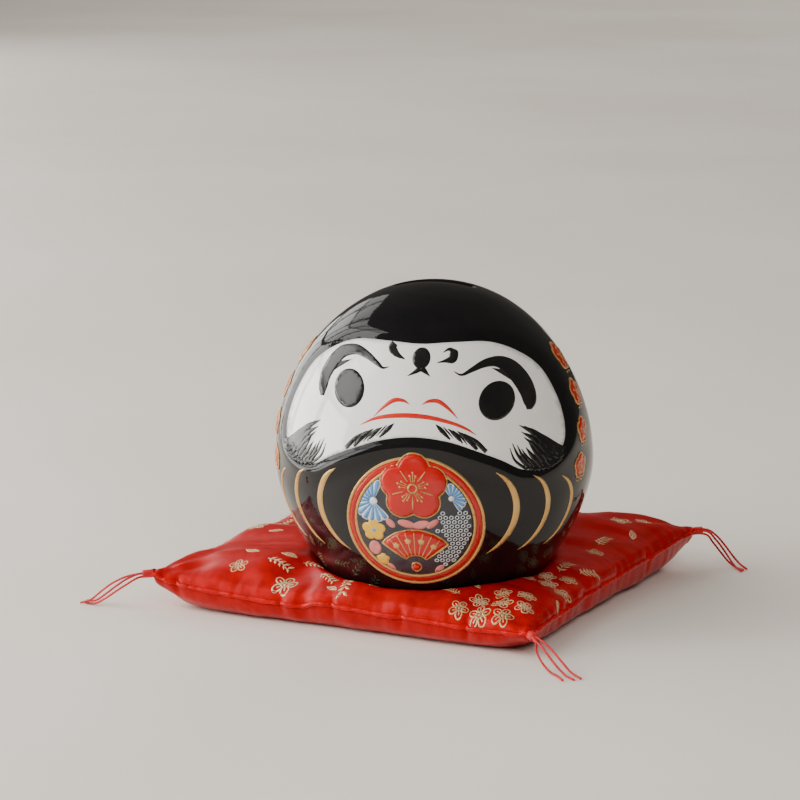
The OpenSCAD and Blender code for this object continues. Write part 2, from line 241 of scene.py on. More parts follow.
def yarn(name, scale, stops, bump, depth, **constants):
    """A finish of fine filament: how fine it is, its shades, and how far its threads stand up."""
    mat, tree, shade = new_finish(name, **constants)
    streak = fibre_nodes(tree, object_place(tree), scale)
    tree.links.new(ramp(tree, streak[0], *stops), shade["Base Color"])
    tree.links.new(add(tree, "ShaderNodeBump", {"Height": streak[1], "Strength": bump, "Distance": depth})[0],
                   shade["Normal"])
    return mat


cord_red = yarn("cord_red", 2600.0, ((0.3, (0.3, 0.004, 0.008)), (0.55, (0.62, 0.012, 0.018)),
                                     (0.75, (0.82, 0.06, 0.05))), 0.5, 0.0001,
                Roughness=0.5, Sheen_Weight=0.35, Sheen_Roughness=0.4, Sheen_Tint=(1, 0.45, 0.4, 1))

strand_maker, given = new_maker("plied_strand", Radius="Float", Turns_Per_Metre="Float", Finish="Material")
spine = add(strand_maker, "GeometryNodeResampleCurve", {"Curve": given[0], "Length": 0.00035},
            mode="LENGTH")[0]
twist = maths(strand_maker, "MULTIPLY", add(strand_maker, "GeometryNodeSplineParameter")["Length"],
              maths(strand_maker, "MULTIPLY", given["Turns Per Metre"], 2 * math.pi))
spine = add(strand_maker, "GeometryNodeSetCurveTilt", {"Curve": spine, "Tilt": twist})[0]
ring = add(strand_maker, "GeometryNodeCurvePrimitiveCircle", {"Resolution": 16, "Radius": given["Radius"]})[0]
place = add(strand_maker, "GeometryNodeInputPosition")[0]
across = add(strand_maker, "ShaderNodeSeparateXYZ", {0: place})[0]
share = maths(strand_maker, "DIVIDE", across, given["Radius"])
waist = maths(strand_maker, "ADD", 0.72, maths(strand_maker, "MULTIPLY", 0.28, maths(strand_maker, "POWER",
              maths(strand_maker, "ABSOLUTE", share), 1.5)))
ring = add(strand_maker, "GeometryNodeSetPosition", {"Geometry": ring, "Position": add(
    strand_maker, "ShaderNodeVectorMath", {0: place, "Scale": waist}, operation="SCALE")[0]})[0]
swept = add(strand_maker, "GeometryNodeCurveToMesh",
            {"Curve": spine, "Profile Curve": ring, "Fill Caps": True})[0]
end_maker(strand_maker, swept, given["Finish"])

for k, corner in enumerate(CORNERS):
    for n, route in enumerate(ROUTES[corner], 1):
        path = at_corner(k, smooth_line(route, 6))
        path[:, 2] = np.maximum(path[:, 2], 0.5 * MM)
        strand = made(f"tassel_strand_{corner}_{n}", strand_maker, curve_through(path), Radius=STRAND_D / 2
                      * MM, Turns_Per_Metre=1 / (STRAND_PITCH * MM), Finish=cord_red)
        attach(strand, "cushion")
        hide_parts(f"strand_{corner}_{n}")

# ---- Whippings ----
# Thread is wound tightly round the three strands where they leave a corner, which closes the
# cover's tip. Nine turns of fine red thread lie side by side over a core of the covered ends.
WHIP_L = 4.0
WHIP_R = 1.6
WHIP_TURNS = 9.0
SEAM_AT_CORNER = {"right": 14.0, "back": 14.0, "left": 14.0, "front": 9.0}

whip_maker, given = new_maker("wound_whipping", Length="Float", Radius="Float", Turns="Float", Place="Vector",
                              Heading="Float", Finish="Material")
thread = maths(whip_maker, "DIVIDE", given["Length"], maths(whip_maker, "MULTIPLY", given["Turns"], 1.9))
coil_r = maths(whip_maker, "SUBTRACT", given["Radius"], thread)
coil = add(whip_maker, "GeometryNodeCurveSpiral", {"Resolution": 26, "Rotations": given["Turns"],
           "Start Radius": coil_r, "End Radius": coil_r, "Height": given["Length"]})[0]
wound = add(whip_maker, "GeometryNodeCurveToMesh", {"Curve": coil, "Profile Curve": add(
    whip_maker, "GeometryNodeCurvePrimitiveCircle", {"Resolution": 8, "Radius": thread})[0],
                                                    "Fill Caps": True})[0]
core = add(whip_maker, "GeometryNodeMeshCone", {"Vertices": 24, "Side Segments": 4, "Radius Top": coil_r,
           "Radius Bottom": coil_r, "Depth": given["Length"]})[0]
both = add(whip_maker, "GeometryNodeJoinGeometry")
whip_maker.links.new(wound, both[0].node.inputs[0])
whip_maker.links.new(core, both[0].node.inputs[0])
lying = add(whip_maker, "GeometryNodeTransform", {"Geometry": both[0], "Rotation": (0, math.pi / 2, 0)})[0]
heading = add(whip_maker, "ShaderNodeCombineXYZ", {2: given["Heading"]})[0]
lying = add(whip_maker, "GeometryNodeTransform", {"Geometry": lying, "Rotation": heading,
            "Translation": given["Place"]})[0]
end_maker(whip_maker, lying, given["Finish"])

for k, corner in enumerate(CORNERS):
    start = at_corner(k, [[-1, 0, SEAM_AT_CORNER[corner]]])[0]
    whipping = made(f"tassel_whipping_{corner}", whip_maker, bpy.data.meshes.new("seed"), Length=WHIP_L * MM,
                    Radius=WHIP_R * MM, Turns=WHIP_TURNS, Place=tuple(start),
                    Heading=corner_heading(k), Finish=cord_red)
    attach(whipping, "cushion")
    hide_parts(f"knot_{corner}")

# ---- Cushion ----
# A square cushion of red silk satin, a top and a bottom cover sewn together on one seam and
# filled with cotton wadding. The sides pull in between the corners and the doll sinks into it.
CELLS = 72
FINE = 2
WAIST, WAIST_FRONT = 3.0, 1.0
SEAM_MID = 10.5
STUFFING = 11.5
FOOT_Z = 10.0
FOOT_R = 33.0
FRONT_DENT, RIGHT_DENT = -14.0, -21.0
DOLL_X, DOLL_Y = 5.0, -26.5
BELLY_H, DOME_H, DOLL_R = 48.0, 66.8, 60.0
BELLY_PULL, FOOT_PULL, DOME_PULL, CROWN_PULL = 0.37, 0.32, 0.375, 0.68
MID_Z = FOOT_Z + BELLY_H
OUT_OF_REACH = 999.0


def bezier(a, b, c, d, t):
    return (1 - t) ** 3 * a + 3 * (1 - t) ** 2 * t * b + 3 * (1 - t) * t * t * c + t ** 3 * d


# The doll's outline in mm from its axis and from its widest level, belly first and then dome. Each
# PULL is how far a curve's handle reaches, as a share of that curve's own width or height.
T = np.linspace(0, 1, 400)
BELLY = np.stack([bezier(DOLL_R, DOLL_R, FOOT_R + FOOT_PULL * (DOLL_R - FOOT_R), FOOT_R, T),
                  -bezier(0, BELLY_PULL * BELLY_H, BELLY_H, BELLY_H, T)], 1)[::-1]
DOME = np.stack([bezier(DOLL_R, DOLL_R, CROWN_PULL * DOLL_R, 0, T),
                 bezier(0, DOME_PULL * DOME_H, DOME_H, DOME_H, T)], 1)
OUTLINE = np.vstack([BELLY, DOME[1:]])


def plan(u, v):
    """The cushion's plan in mm, where u and v run from -1 to 1 between its sides."""
    waist_y = np.where(v < 0, WAIST_FRONT, WAIST)
    x, y = HALF_SIDE * u - WAIST * u * (1 - v * v), HALF_SIDE * v - waist_y * v * (1 - u * u)
    return x * math.cos(TURN) - y * math.sin(TURN), x * math.sin(TURN) + y * math.cos(TURN)


def seam_height(u, v):
    """Height of the seam in mm: up to each corner's whipping, and sagging along the front."""
    def tip(a, b):
        return ((1 + a) * (1 + b) / 4) ** 3

    front = np.clip(-v * 2 - 1, 0, 1) * (1 - u ** 8)
    sag = front * (1.0 + 1.9 / (1 + np.exp((u * HALF_SIDE - FRONT_DENT) / 2.2)))
    high, low = SEAM_AT_CORNER["back"] - SEAM_MID, SEAM_AT_CORNER["front"] - SEAM_MID
    return SEAM_MID + high * (tip(u, v) + tip(-u, v) + tip(-u, -v)) + low * tip(u, -v) - sag


def underside(x, y):
    """Height of the doll's underside over the table, in mm."""
    r = np.hypot(x - DOLL_X, y - DOLL_Y)
    return np.where(r < DOLL_R - 2, MID_Z + np.interp(r, BELLY[:, 0], BELLY[:, 1]), OUT_OF_REACH)


def soft_min(a, b, width):
    """The lower of two heights, rounded where they cross."""
    return -width * np.log(np.exp(-a / width) + np.exp(-np.minimum(b, 90) / width))


def fabric_noise(x, y, seed, count, low, high):
    """A smooth field of broad random folds."""
    rng = random.Random(seed)
    field = 0
    for _ in range(count):
        turn, wave, start = rng.uniform(0, math.tau), rng.uniform(low, high), rng.uniform(0, math.tau)
        field = field + np.sin((x * math.cos(turn) + y * math.sin(turn)) * math.tau / wave + start)
    return field / math.sqrt(count)


axis = np.linspace(-1, 1, CELLS + 1)
U, V = np.meshgrid(axis, axis, indexing="ij")
X, Y = plan(U, V)
plump = np.maximum(0, (1 - U ** 4) * (1 - V ** 4)) ** 0.45
seam_line = seam_height(U, V)
ripple = fabric_noise(X, Y, 3, 7, 22, 60)
top = np.stack([X, Y, soft_min(seam_line + STUFFING * plump + 0.35 * ripple * plump,
                               underside(X, Y) - 0.6, 0.8)], 2)
inward = HALF_SIDE * (1 - np.maximum(np.abs(U), np.abs(V)))
tuck = 7 + 26 * np.minimum(np.abs(U), np.abs(V)) ** 6
drop = np.sqrt(1 - (1 - np.minimum(inward / tuck, 1)) ** 2)
low = np.stack([X, Y, np.maximum(0.4, seam_line * (1 - drop))], 2)
top[[0, -1], :, 2] = seam_line[[0, -1], :]
top[:, [0, -1], 2] = seam_line[:, [0, -1]]
low[[0, -1]], low[:, [0, -1]] = top[[0, -1]], top[:, [0, -1]]


def pillow_mesh(name, upper, lower):
    """A closed mesh of two sheets of grid points, in mm, that share their outer edge."""
    n = len(upper)
    index_up = np.arange(n * n).reshape(n, n)
    index_low = np.full((n, n), -1)
    index_low[1:-1, 1:-1] = n * n + np.arange((n - 2) ** 2).reshape(n - 2, n - 2)
    index_low = np.where(index_low < 0, index_up, index_low)
    points = np.vstack([upper.reshape(-1, 3), lower[1:-1, 1:-1].reshape(-1, 3)]) * MM
    faces = []
    for index, turned in ((index_up, False), (index_low, True)):
        a, b, c, d = index[:-1, :-1], index[1:, :-1], index[1:, 1:], index[:-1, 1:]
        quads = np.stack([a, d, c, b] if turned else [a, b, c, d], 2).reshape(-1, 4)
        faces += quads.tolist()
    mesh = bpy.data.meshes.new(name)
    mesh.from_pydata(points.tolist(), [], faces)
    mesh.shade_smooth()
    return mesh, index_up, index_low


SWELL_CAP = 6.0
EASING = 5
ticking, up_at, low_at = pillow_mesh("ticking", top, low)
pad = put("ticking", ticking)
held = pad.vertex_groups.new(name="held")
seated = (top[..., 2] > underside(X, Y) - 2.0).ravel()
on_table = (low[..., 2] < 1.0).ravel()
rim = np.zeros_like(U, bool)
rim[[0, -1]], rim[:, [0, -1]] = True, True
tips = (np.abs(U) + np.abs(V) > 1.93).ravel()
held.add(up_at.ravel()[seated].tolist() + low_at.ravel()[on_table].tolist()
         + up_at.ravel()[tips & rim.ravel()].tolist(), 1.0, "REPLACE")
held.add(up_at.ravel()[rim.ravel() & ~tips].tolist(), 0.55, "REPLACE")
cloth = pad.modifiers.new("cloth", "CLOTH")
cloth.settings.quality = 6
cloth.settings.mass = 0.15
cloth.settings.tension_stiffness = cloth.settings.compression_stiffness = 14
cloth.settings.shear_stiffness = 4
cloth.settings.bending_stiffness = 0.15
cloth.settings.use_pressure = True
cloth.settings.uniform_pressure_force = 4
cloth.settings.shrink_min = -0.035
cloth.settings.vertex_group_mass = "held"
cloth.settings.pin_stiffness = 1.0
cloth.settings.effector_weights.gravity = 0
cloth.collision_settings.use_collision = False
for step in range(1, 21):
    bpy.context.scene.frame_set(step)
seen = bpy.context.evaluated_depsgraph_get()
swollen = bpy.data.meshes.new_from_object(pad.evaluated_get(seen))
places = np.empty(len(swollen.vertices) * 3)
swollen.vertices.foreach_get("co", places)
places = places.reshape(-1, 3) / MM
bpy.context.scene.frame_set(1)
bpy.data.objects.remove(pad)
for sheet, at in ((top, up_at), (low, low_at)):
    move = places[at] - sheet
    far = np.linalg.norm(move, axis=2, keepdims=True)
    sheet += move * np.minimum(1, SWELL_CAP / np.maximum(far, 1e-6))
    for _ in range(EASING):
        eased = (sheet[:-2, 1:-1] + sheet[2:, 1:-1] + sheet[1:-1, :-2] + sheet[1:-1, 2:]) / 4
        sheet[1:-1, 1:-1] = (sheet[1:-1, 1:-1] + eased) / 2


def refined(grid, times):
    """The grid of points with a smooth curve through every row and column."""
    for _ in range(2):
        rows = [smooth_line(row, times) for row in grid.transpose(1, 0, 2)]
        grid = np.array(rows)
    return grid


def normals_of(grid):
    along, across = np.gradient(grid, axis=0), np.gradient(grid, axis=1)
    n = np.cross(along, across)
    return n / np.maximum(np.linalg.norm(n, axis=2, keepdims=True), 1e-9)


top, low = refined(top, FINE), refined(low, FINE)
axis = np.linspace(-1, 1, CELLS * FINE + 1)
U, V = np.meshgrid(axis, axis, indexing="ij")
X, Y = plan(U, V)


def pucker(side, distance, seed):
    """Small gathers that the stitching draws in the cloth beside the seam."""
    rng = random.Random(seed)
    along = side * HALF_SIDE * math.tau
    tight = sum(rng.uniform(0.5, 1) * np.sin(along / rng.uniform(3.4, 8) + rng.uniform(0, 6))
                for _ in range(5)) / 2
    broad = sum(rng.uniform(0.5, 1) * np.sin(along / rng.uniform(19, 46) + rng.uniform(0, 6))
                for _ in range(3)) / 2
    return 0.8 * tight * np.exp(-distance / 2.8) + 1.7 * broad * np.exp(-((distance - 9) / 10) ** 2)


gathers, roll = 0, 0
for number, (side, gap) in enumerate(((U, 1 - V), (U, 1 + V), (V, 1 - U), (V, 1 + U))):
    away = gap * HALF_SIDE
    gathers = gathers + pucker(side, away, number) * (1 - np.exp(-away / 1.2)) * (1 - side ** 6)
    roll = roll + 0.9 * np.exp(-((away - 2.4) / 1.4) ** 2)
# Two deep dents where the seam is pinched in, on the front and the right-hand side
for middle, side, away in ((FRONT_DENT, U, (1 + V) * HALF_SIDE), (RIGHT_DENT, V, (1 - U) * HALF_SIDE)):
    gathers = gathers - 3.2 * np.exp(-((side * HALF_SIDE - middle) / 3.6) ** 2) * np.exp(-away / 11)
folds = 0
for su, sv in ((1, 1), (1, -1), (-1, 1), (-1, -1)):
    far = np.hypot(su - U, sv - V) * HALF_SIDE
    spread = np.arctan2(sv - V, su - U) * su * sv
    folds = folds + np.sin(spread * 9 + su + 2 * sv) * np.exp(-((far - 20) / 14) ** 2)
crumple = fabric_noise(X, Y, 11, 9, 14, 40)
seated = np.clip((underside(X, Y) - top[..., 2]) / 5, 0, 1)
free = np.minimum(1, (1 - np.maximum(np.abs(U), np.abs(V))) * 12)
lift = (0.5 * gathers + roll + (0.7 * folds + 0.18 * crumple) * free) * seated
top += normals_of(top) * lift[..., None]
low -= normals_of(low) * ((0.5 * gathers + roll) * np.clip(low[..., 2] / 4, 0, 1))[..., None]
top[..., 2] = np.minimum(top[..., 2], underside(top[..., 0], top[..., 1]) - 0.25)
top[..., 2] = np.maximum(top[..., 2], 1.2)
low[..., 2] = np.maximum(low[..., 2], 0.15)
low[[0, -1]], low[:, [0, -1]] = top[[0, -1]], top[:, [0, -1]]

SATIN_SHINE = {"Specular_IOR_Level": 0.7, "Specular_Tint": (1, 0.1, 0.1, 1)}
satin, tree, shade = new_finish("silk_satin", Roughness=0.33, Sheen_Weight=0.03, Sheen_Roughness=0.4,
                                Sheen_Tint=(1, 0.1, 0.1, 1), **SATIN_SHINE)
weave, given = new_effect("thread_weave", {"Vector": ("Vector", None), "Threads": ("Float", 420.0)},
                          {"Height": "Float", "Shade": "Float"})
both = []
for direction, share in (("X", 1.0), ("Y", 0.22)):
    band = add(weave, "ShaderNodeTexWave", {"Vector": given[0], "Scale": given[1], "Distortion": 0.0},
               wave_type="BANDS", bands_direction=direction)[1]
    both.append(maths(weave, "MULTIPLY", band, share))
slub = add(weave, "ShaderNodeTexNoise", {"Vector": given[0], "Scale": 40.0, "Detail": 3.0})[0]
add(weave, "NodeGroupOutput", {0: maths(weave, "ADD", *both), 1: slub})


def weave_nodes(tree, threads):
    node = tree.nodes.new("ShaderNodeGroup")
    node.node_tree = weave
    tree.links.new(add(tree, "ShaderNodeUVMap", uv_map="cloth")[0], node.inputs[0])
    node.inputs[1].default_value = threads
    return node.outputs


threads = weave_nodes(tree, 66.0)
streak = fibre_nodes(tree, object_place(tree), 320.0)
tone = maths(tree, "ADD", maths(tree, "MULTIPLY", threads["Shade"], 0.6),
             maths(tree, "MULTIPLY", streak[0], 0.4))
tree.links.new(ramp(tree, tone, (0.3, (0.28, 0.0003, 0.001)), (0.5, (0.39, 0.0005, 0.0015)),
                    (0.7, (0.5, 0.001, 0.003))), shade["Base Color"])
cloth_bump = add(tree, "ShaderNodeBump", {"Height": streak[1], "Strength": 0.12, "Distance": 0.0006})[0]
tree.links.new(add(tree, "ShaderNodeBump", {"Height": threads["Height"], "Strength": 0.25,
                                            "Distance": 0.00008, "Normal": cloth_bump})[0], shade["Normal"])

mesh, up_at, low_at = pillow_mesh("cushion_cover", top, low)
uv = mesh.uv_layers.new(name="cloth")
flat = np.stack([(U + 1) / 2, (V + 1) / 2], 2).reshape(-1, 2)
flat = np.vstack([flat, flat.reshape(*U.shape, 2)[1:-1, 1:-1].reshape(-1, 2)])
corner_at = np.empty(len(mesh.loops), int)
mesh.loops.foreach_get("vertex_index", corner_at)
uv.data.foreach_set("uv", flat[corner_at].ravel())
mesh.materials.append(satin)
cushion = put("cushion_cover", mesh)
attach(cushion, "cushion")
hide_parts("cushion_top_cover", "cushion_bottom_cover", "cushion_filling")

# ---- Cushion seam ----
# The two covers meet in a turned seam. Its edge stands out all round as a thin puckered ridge
# of folded satin, pulled tight by the stitches inside it. The ridge's satin is coloured a lighter
# red than the covers' satin: a painted highlight along the seam.
RIDGE_R = 0.8

seam_maker, given = new_maker("puckered_ridge", Radius="Float", Finish="Material")
edge = add(seam_maker, "GeometryNodeResampleCurve", {"Curve": given[0], "Length": 0.0005}, mode="LENGTH")[0]
uneven = add(seam_maker, "ShaderNodeTexNoise", {"Scale": 300.0, "Detail": 2.0}, noise_dimensions="3D")[0]
swell = maths(seam_maker, "ADD", 0.3, maths(seam_maker, "MULTIPLY", uneven, 1.4))
edge = add(seam_maker, "GeometryNodeSetCurveRadius", {"Curve": edge, "Radius": swell})[0]
ring = add(seam_maker, "GeometryNodeCurvePrimitiveCircle", {"Resolution": 10, "Radius": given["Radius"]})[0]
swept = add(seam_maker, "GeometryNodeCurveToMesh", {"Curve": edge, "Profile Curve": ring, "Scale": swell})[0]
end_maker(seam_maker, swept, given["Finish"])
seam_loop = np.vstack([top[:-1, 0], top[-1, :-1], top[:0:-1, -1], top[0, :0:-1]]) * MM

# Same satin as the cover, given a lighter red: painted highlight on the seam ridge
ridge_satin = yarn("ridge_satin", 1500.0, ((0.3, (0.32, 0.0004, 0.0012)), (0.7, (0.62, 0.001, 0.004))),
                   0.35, 0.0003, Roughness=0.3, **SATIN_SHINE)
ridge = made("cushion_seam_ridge", seam_maker, curve_through(seam_loop, closed=True), Radius=RIDGE_R * MM,
             Finish=ridge_satin)
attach(ridge, "cushion")

# ---- Brocade motifs ----
# Pale gold thread is woven into the satin in figures: open five-petal flowers with stamens,
# leaves and sprigs. They stand a thread's thickness above the red ground.
MOTIF_T = 0.14


def crossings(points, loops):
    """True for the points inside the loops, counting a loop inside another as a hole."""
    inside = np.zeros(len(points), bool)
    px, py = points[:, 0, None], points[:, 1, None]
    for loop in loops:
        (ax, ay), (bx, by) = loop.T, np.roll(loop, -1, axis=0).T
        step = np.where(by == ay, 1e-12, by - ay)
        hit = ((ay > py) != (by > py)) & (px < (bx - ax) * (py - ay) / step + ax)
        inside ^= hit.sum(1) % 2 == 1
    return inside


def rim_distance(points, loops):
    best = np.full(len(points), 1e9)
    for loop in loops:
        a, b = loop, np.roll(loop, -1, axis=0)
        d = b - a
        t = np.clip(((points[:, None] - a) * d).sum(2) / np.maximum((d * d).sum(1), 1e-12), 0, 1)
        best = np.minimum(best, np.linalg.norm(points[:, None] - a - t[..., None] * d, axis=2).min(1))
    return best


def inlay(loops, lay, bottom, height, rim, grain, edge=None):
    """Points and faces of a thin closed layer inside the loops, in mm, with a rounded rim.

    lay(points, lift) puts the flat points on the object, lift mm above its surface; edge is the
    height of the top at the rim itself.
    """
    edge = bottom + 0.3 * (height - bottom) if edge is None else edge
    loops = [np.asarray(loop, float) for loop in loops]
    low_c, high_c = np.vstack(loops).min(0), np.vstack(loops).max(0)
    gx, gy = np.meshgrid(np.arange(low_c[0], high_c[0], grain), np.arange(low_c[1], high_c[1], grain * 0.87))
    gx[1::2] += grain / 2
    fill = np.stack([gx.ravel(), gy.ravel()], 1)
    fill = fill[crossings(fill, loops)]
    if len(fill):
        fill = fill[rim_distance(fill, loops) > grain * 0.45]
    rings = [fill] if len(fill) else []
    edges, count = [], 0
    for loop in loops:
        n = len(loop)
        edges += [(count + i, count + (i + 1) % n) for i in range(n)]
        count += n
    flat, _, triangles, *_ = geometry.delaunay_2d_cdt([Vector(p) for p in np.vstack(loops + rings)], edges,
                                                      [], 0, 1e-5)
    flat = np.array([tuple(p) for p in flat])
    triangles = np.array(triangles)
    triangles = triangles[crossings(flat[triangles].mean(1), loops)]
    share = np.minimum(rim_distance(flat, loops) / rim, 1)
    rise = edge + (height - edge) * np.sqrt(1 - (1 - share) ** 2)
    n = len(flat)
    points = np.vstack([lay(flat, rise), lay(flat, np.full(n, bottom))])
    faces = triangles.tolist() + (triangles[:, ::-1] + n).tolist()
    sides = {}
    for a, b, c in triangles.tolist():
        for e in ((a, b), (b, c), (c, a)):
            sides[e] = True
    faces += [[b, a, a + n, b + n] for a, b in sides if (b, a) not in sides]
    return points, faces


def join_layers(name, layers, finish, body, slot, *nodes):
    """One smooth piece from many layers; it rides on a body and stands for the CAD nodes."""
    points, faces, base = [], [], 0
    for some, these in layers:
        points.append(some)
        faces += [[i + base for i in face] for face in these]
        base += len(some)
    mesh = bpy.data.meshes.new(name)
    mesh.from_pydata((np.vstack(points) * MM).tolist(), [], faces)
    mesh.validate()
    mesh.shade_smooth()
    mesh.materials.append(finish)
    piece = put(name, mesh)
    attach(piece, body)
    if nodes:
        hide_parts(*nodes)
    return piece


def arc(cx, cy, rx, ry=None, turn=0.0, steps=28, start=0.0, end=math.tau):
    """Points of an ellipse or a part of one."""
    a = np.linspace(start, end, steps, endpoint=end - start < math.tau - 1e-6)
    x, y = rx * np.cos(a), (ry or rx) * np.sin(a)
    return np.stack([cx + x * math.cos(turn) - y * math.sin(turn), cy + x * math.sin(turn) + y
                     * math.cos(turn)], 1)


def brush(line, steps=6):
    """The outline of a stroke through (x, y, width) points."""
    p = smooth_line(line, steps)
    way = np.gradient(p[:, :2], axis=0)
    way /= np.maximum(np.linalg.norm(way, axis=1, keepdims=True), 1e-9)
    left = np.stack([-way[:, 1], way[:, 0]], 1) * np.maximum(p[:, 2:3], 0.12) / 2
    return np.vstack([p[:, :2] - left, (p[:, :2] + left)[::-1]])


def moved(shape, x, y, turn=0.0, size=1.0):
    c, s = math.cos(turn) * size, math.sin(turn) * size
    return shape @ np.array([[c, s], [-s, c]]) + (x, y)


def on_cushion(points, lift):
    """Flat points of the cover, in mm from its centre, laid on the cushion's top."""
    where = (points / HALF_SIDE + 1) / 2 * CELLS * FINE
    where = np.clip(where, 0, CELLS * FINE - 1e-6)
    i, j = where.astype(int).T
    a, b = (where - where.astype(int)).T[..., None]
    normals = normals_of(top)
    return sum(w * (top[p, q] + normals[p, q] * lift[:, None]) for w, p, q in (
        ((1 - a) * (1 - b), i, j), (a * (1 - b), i + 1, j), (a * b, i + 1, j + 1), ((1 - a) * b, i, j + 1)))


def woven_flower(size):
    shapes = [[arc(0, 0, 0.16, steps=12)]]
    for k in range(5):
        a = math.tau * k / 5
        petal, inner = arc(0.6, 0, 0.42, 0.37, steps=18), arc(0.62, 0, 0.29, 0.24, steps=14)
        shapes.append([moved(petal, 0, 0, a), moved(inner, 0, 0, a)])
        shapes.append([moved(brush([(0.18, 0, 0.05), (0.42, 0, 0.08), (0.56, 0, 0.14), (0.68, 0, 0.06)], 3),
                             0, 0, a)])
    return [[loop * size for loop in shape] for shape in shapes]


def woven_leaf(size):
    outer = brush([(0, 0, 0.1), (0.5, 0.08, 0.6), (1.1, 0.1, 0.72), (1.8, 0, 0.08)], 5)
    inner = brush([(0.2, 0.03, 0.08), (0.55, 0.08, 0.4), (1.1, 0.1, 0.5), (1.56, 0.03, 0.06)], 5)
    shapes = [[outer * size, inner * size], [brush([(0.1, 0, 0.07), (0.8, 0.09, 0.1), (1.5, 0.04, 0.06)], 4)
                                             * size]]
    for x in (0.5, 0.8, 1.1):
        for hand in (1, -1):
            shapes.append([moved(brush([(0, 0, 0.07), (0.13, 0, 0.1), (0.27, 0, 0.05)], 3), x, 0.08, hand
                                 * 0.9) * size])
    return shapes


def woven_sprig(size, leaves):
    shapes = [[brush([(0, 0, 0.12), (1.2, 0.25, 0.16), (2.6, 0.1, 0.12), (3.8, -0.35, 0.08)], 5) * size]]
    for n in range(leaves):
        x = 0.4 + 3.1 * n / max(leaves - 1, 1)
        for hand in (1, -1):
            leaf = brush([(0, 0, 0.08), (0.45, 0, 0.36), (0.95, 0, 0.06)], 4)
            shapes.append([moved(leaf, x, 0.15, hand * 0.95) * size])
    return shapes


gold_thread = yarn("gold_thread", 2200.0, ((0.32, (0.42, 0.18, 0.06)), (0.5, (0.76, 0.5, 0.23)),
                                           (0.68, (0.95, 0.8, 0.55))), 0.6, 0.0001,
                   Roughness=0.4, Metallic=0.45, Sheen_Weight=0.1)

# (kind, place across the cover in mm, turn in degrees, size in mm)
MOTIFS = [
    ("flower", -25, -73, 10, 5.0), ("leaf", -45, -57, 165, 4.2), ("leaf", -36, -57, 0, 3.8),
    ("sprig", -38, -63, -8, 2.6), ("sprig", -26, -58, 12, 2.2), ("flower", -47, -69, 40, 3.6),
    ("sprig", -14, -65, -30, 2.4), ("sprig", -1, -66, -78, 2.8), ("sprig", 6, -62, -60, 2.2),
    ("leaf", -7, -73, -20, 3.0), ("flower", 48, -74, 0, 3.8), ("flower", 57, -75, 30, 4.4),
    ("flower", 66, -74, 12, 4.2), ("flower", 53, -66, 50, 4.0), ("flower", 62, -66, 20, 4.4),
    ("flower", 71, -66, 5, 3.8), ("flower", 59, -58, 35, 3.6), ("flower", 68, -57, 15, 3.8),
    ("sprig", 45, -66, 150, 2.2), ("leaf", 50, -59, 130, 2.8), ("flower", 60, -36, 10, 3.6),
    ("flower", 68, -34, 40, 3.8), ("flower", 64, -27, 20, 3.8), ("flower", 72, -25, 0, 3.4),
    ("flower", 75, -38, 25, 3.4), ("leaf", 57, -28, 110, 3.0), ("sprig", 66, -20, 85, 2.8),
    ("sprig", 73, -17, 70, 2.4), ("leaf", 76, -47, -60, 3.0), ("flower", -68, -18, 30, 3.8),
    ("flower", -62, -10, 0, 3.4), ("sprig", -66, -4, 80, 2.8), ("leaf", -60, -24, 10, 3.4),
    ("flower", -58, 48, 0, 4.4), ("flower", -50, 54, 30, 3.6), ("sprig", -48, 60, 20, 3.0),
    ("leaf", -64, 40, 230, 3.8), ("flower", 4, 62, 25, 4.4), ("flower", -4, 68, 0, 3.4),
    ("sprig", 12, 58, -20, 3.0), ("leaf", -8, 60, 160, 4.0), ("flower", 60, 52, 10, 4.2),
    ("flower", 66, 60, 40, 3.4), ("sprig", 52, 62, 160, 3.0), ("leaf", 68, 44, -60, 3.8),
    ("flower", 68, 10, 45, 3.6), ("sprig", 66, 18, 90, 2.6), ("sprig", -34, 66, 5, 2.8),
    ("flower", -70, 18, 15, 3.4),
]
layers = []
for kind, x, y, degrees, size in MOTIFS:
    shapes = {"flower": woven_flower,
              "leaf": woven_leaf}[kind](size) if kind != "sprig" else woven_sprig(size, 5)
    for shape in shapes:
        layers.append(inlay([moved(loop, x, y, math.radians(degrees)) for loop in shape], on_cushion,
                            -0.05, MOTIF_T, 0.25, 1.2, edge=0.06))
join_layers("brocade_motifs", layers, gold_thread, "cushion", "red_brocade")

# ---- Ceramic shell ----
# The doll is slip-cast white ware, glazed black outside and bare biscuit inside and on the foot
# ring. A coin slot is cut in the crown, and a hole in the base lets the coins out. The hood and
# collar stand up round the sunken field of the face.
WALL = 4.5
COLUMNS = 384
SLOT_HALF_L, SLOT_HALF_W, SLOT_LIP = 15.0, 2.2, 0.7
RECESS_R, RECESS_DEPTH, HOLE_R = 25.0, 2.6, 15.0
FACE_SINK = 0.45
FACE_EDGE = [(0, 49.5), (12, 50), (24, 49.5), (34, 45.5), (42, 39), (48, 29), (51, 20), (51.5, 13), (49, 8),
             (44, 5), (38, 5.5), (31, 9.5), (22, 13.5), (12, 17), (0, 18.5)]
FACE_LOOP = smooth_line(FACE_EDGE + [(-x, z) for x, z in FACE_EDGE[-2:0:-1]], 9, closed=True)


